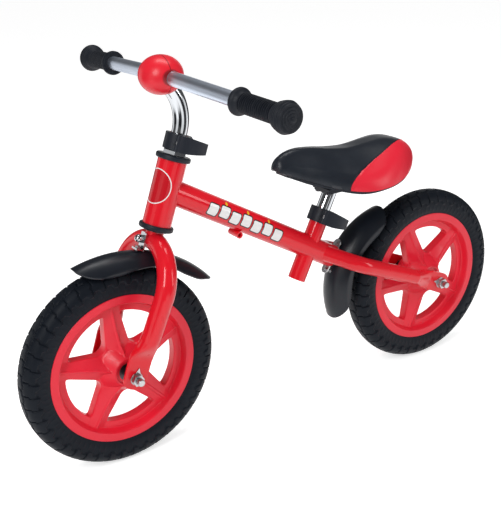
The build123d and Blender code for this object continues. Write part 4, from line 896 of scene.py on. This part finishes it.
lean = math.radians(guards["lean"])
frontGuardCentre = frontHub - np.array([math.cos(lean), 0, math.sin(lean)]) * guards["drop"] * mm
rearGuardCentre = rearHub + np.array([guards["rearAhead"], 0, guards["rearUp"]]) * mm
makeGuard(guards["front"], guards, "frontMudguard", "fork", frontGuardCentre, "front_mudguard")
makeGuard(guards["rear"], guards, "rearMudguard", "frame", rearGuardCentre, "rear_mudguard")
print("mudguards made")

# clamps, levers and nuts keep the CAD shape, with rounded edges; widths in metres
soft = {"clamp": 0.0011, "lever": 0.0012, "nut": 0.0005}
for node in ("stem_clamp_collar", "seat_clamp_collar"):
    softEdged(node, soft["clamp"], blackNylon)
for node in ("stem_clamp_lever", "seat_clamp_lever"):
    softEdged(node, soft["lever"], blackNylon)
for node in ("front_axle_nuts", "rear_axle_nuts", "front_keeper_washers", "rear_keeper_washers"):
    softEdged(node, soft["nut"], zinc)
softEdged("headset_locknut", 0.0006, chrome)
print("fittings rounded")

# floor, lights and background; lights in watts
studio = {"floor": 60.0, "floorColour": (0.90, 0.90, 0.90), "lift": 0.60, "sky": 0.42, "dark": 0.10, "bright": 1.0,
          "key": 24.0, "fill": 10.0, "top": 13.0, "bands": 5.0, "bandTurn": 0.6}
points = np.array([[-1, -1, 0], [1, -1, 0], [1, 1, 0], [-1, 1, 0]]) * studio["floor"] / 2
floorMesh = bpy.data.meshes.new("floor")
floorMesh.from_pydata(points.tolist(), [], [[0, 1, 2, 3]])
floor = bpy.data.objects.new("floor", floorMesh)
bpy.context.scene.collection.objects.link(floor)
paper = Finish("paper", Base_Color=studio["floorColour"], Roughness=0.9, Specular_IOR_Level=0.1)
path = paper.add("ShaderNodeLightPath", output="Is Camera Ray")
mirrored = Wire(paper, path.socket.node.outputs["Is Glossy Ray"])
seen = path.most(Wire(paper, path.socket.node.outputs["Is Transmission Ray"]))
# beyond a clear circle round the object, mirrored rays see the floor in dark and light bands by its angle
floorX, floorY = paper.along((1, 0, 0), (0, 0, 0)), paper.along((0, 1, 0), (0, 0, 0))
outside = ((floorX * floorX + floorY * floorY) ** 0.5).ramp(0.7, 1.6)
floorTurn = floorX.math("ARCTAN2", floorY, floorX)
shade = outside * (1 - floorX.math("SINE", floorTurn * studio["bands"] + studio["bandTurn"]).ramp(-0.1, 0.6)) * mirrored
seen = seen.most(mirrored * (1 - shade))
paper.set(Base_Color=paper.blend(shade, studio["floorColour"], (0.04, 0.04, 0.045)))
paper.set(Emission_Color=paper.blend(seen, (0.0, 0.0, 0.0), (1.0, 1.0, 1.0)), Emission_Strength=studio["lift"])
floorMesh.materials.append(paper.material)


def studioWorld(s):
    # white to the eye; mirrored surfaces see a white lower wall under a dim ceiling; other light is even
    world = bpy.data.worlds.new("studio")
    bpy.context.scene.world = world
    world.use_nodes = True
    sky = Finish.__new__(Finish)
    sky.tree = world.node_tree
    back = sky.tree.nodes["Background"]
    way = sky.add("ShaderNodeTexCoord", output="Generated")
    split = sky.add("ShaderNodeSeparateXYZ", {}, {0: way}, "Z")
    node = split.socket.node
    across, ahead = Wire(sky, node.outputs["X"]), Wire(sky, node.outputs["Y"])
    wall = split.ramp(0.10, 0.42, 1.0, 0.0)
    side = (across * 0.55 - ahead * 0.83).ramp(-0.35, 0.15)
    compass = across.math("ARCTAN2", ahead, across)
    flags = across.math("SINE", compass * s["bands"] + s["bandTurn"]).ramp(0.0, 0.5)
    mirrored = wall * side * flags * (s["bright"] - s["dark"]) + s["dark"]
    camera = sky.add("ShaderNodeLightPath", output="Is Camera Ray")
    glossy = Wire(sky, camera.socket.node.outputs["Is Glossy Ray"])
    clear = Wire(sky, camera.socket.node.outputs["Is Transmission Ray"])
    white = camera.most(clear)
    level = white + (1 - white) * (glossy * mirrored + (1 - glossy) * s["sky"])
    sky.plug(back.inputs["Color"], (1.0, 1.0, 1.0))
    sky.plug(back.inputs["Strength"], level)


def softbox(name, place, target, size, watts):
    # a rectangular lamp at a place, turned towards its target
    data = bpy.data.lights.new(name, "AREA")
    data.shape = "RECTANGLE"
    data.size, data.size_y = size
    data.energy = watts
    lamp = bpy.data.objects.new(name, data)
    lamp.location = place
    lamp.rotation_euler = (Vector(target) - Vector(place)).to_track_quat("-Z", "Y").to_euler()
    bpy.context.scene.collection.objects.link(lamp)
    return lamp


studioWorld(studio)
softbox("keyLight", (1.7, 1.0, 1.6), (0, 0, 0.25), (0.6, 1.2), studio["key"])
softbox("fillLight", (-1.4, 1.7, 0.9), (0, 0, 0.25), (0.5, 1.3), studio["fill"])
softbox("topLight", (-0.2, -0.2, 2.2), (0, 0, 0.2), (1.3, 0.5), studio["top"])
bpy.context.scene.view_settings.view_transform = "Standard"
print("studio lit")
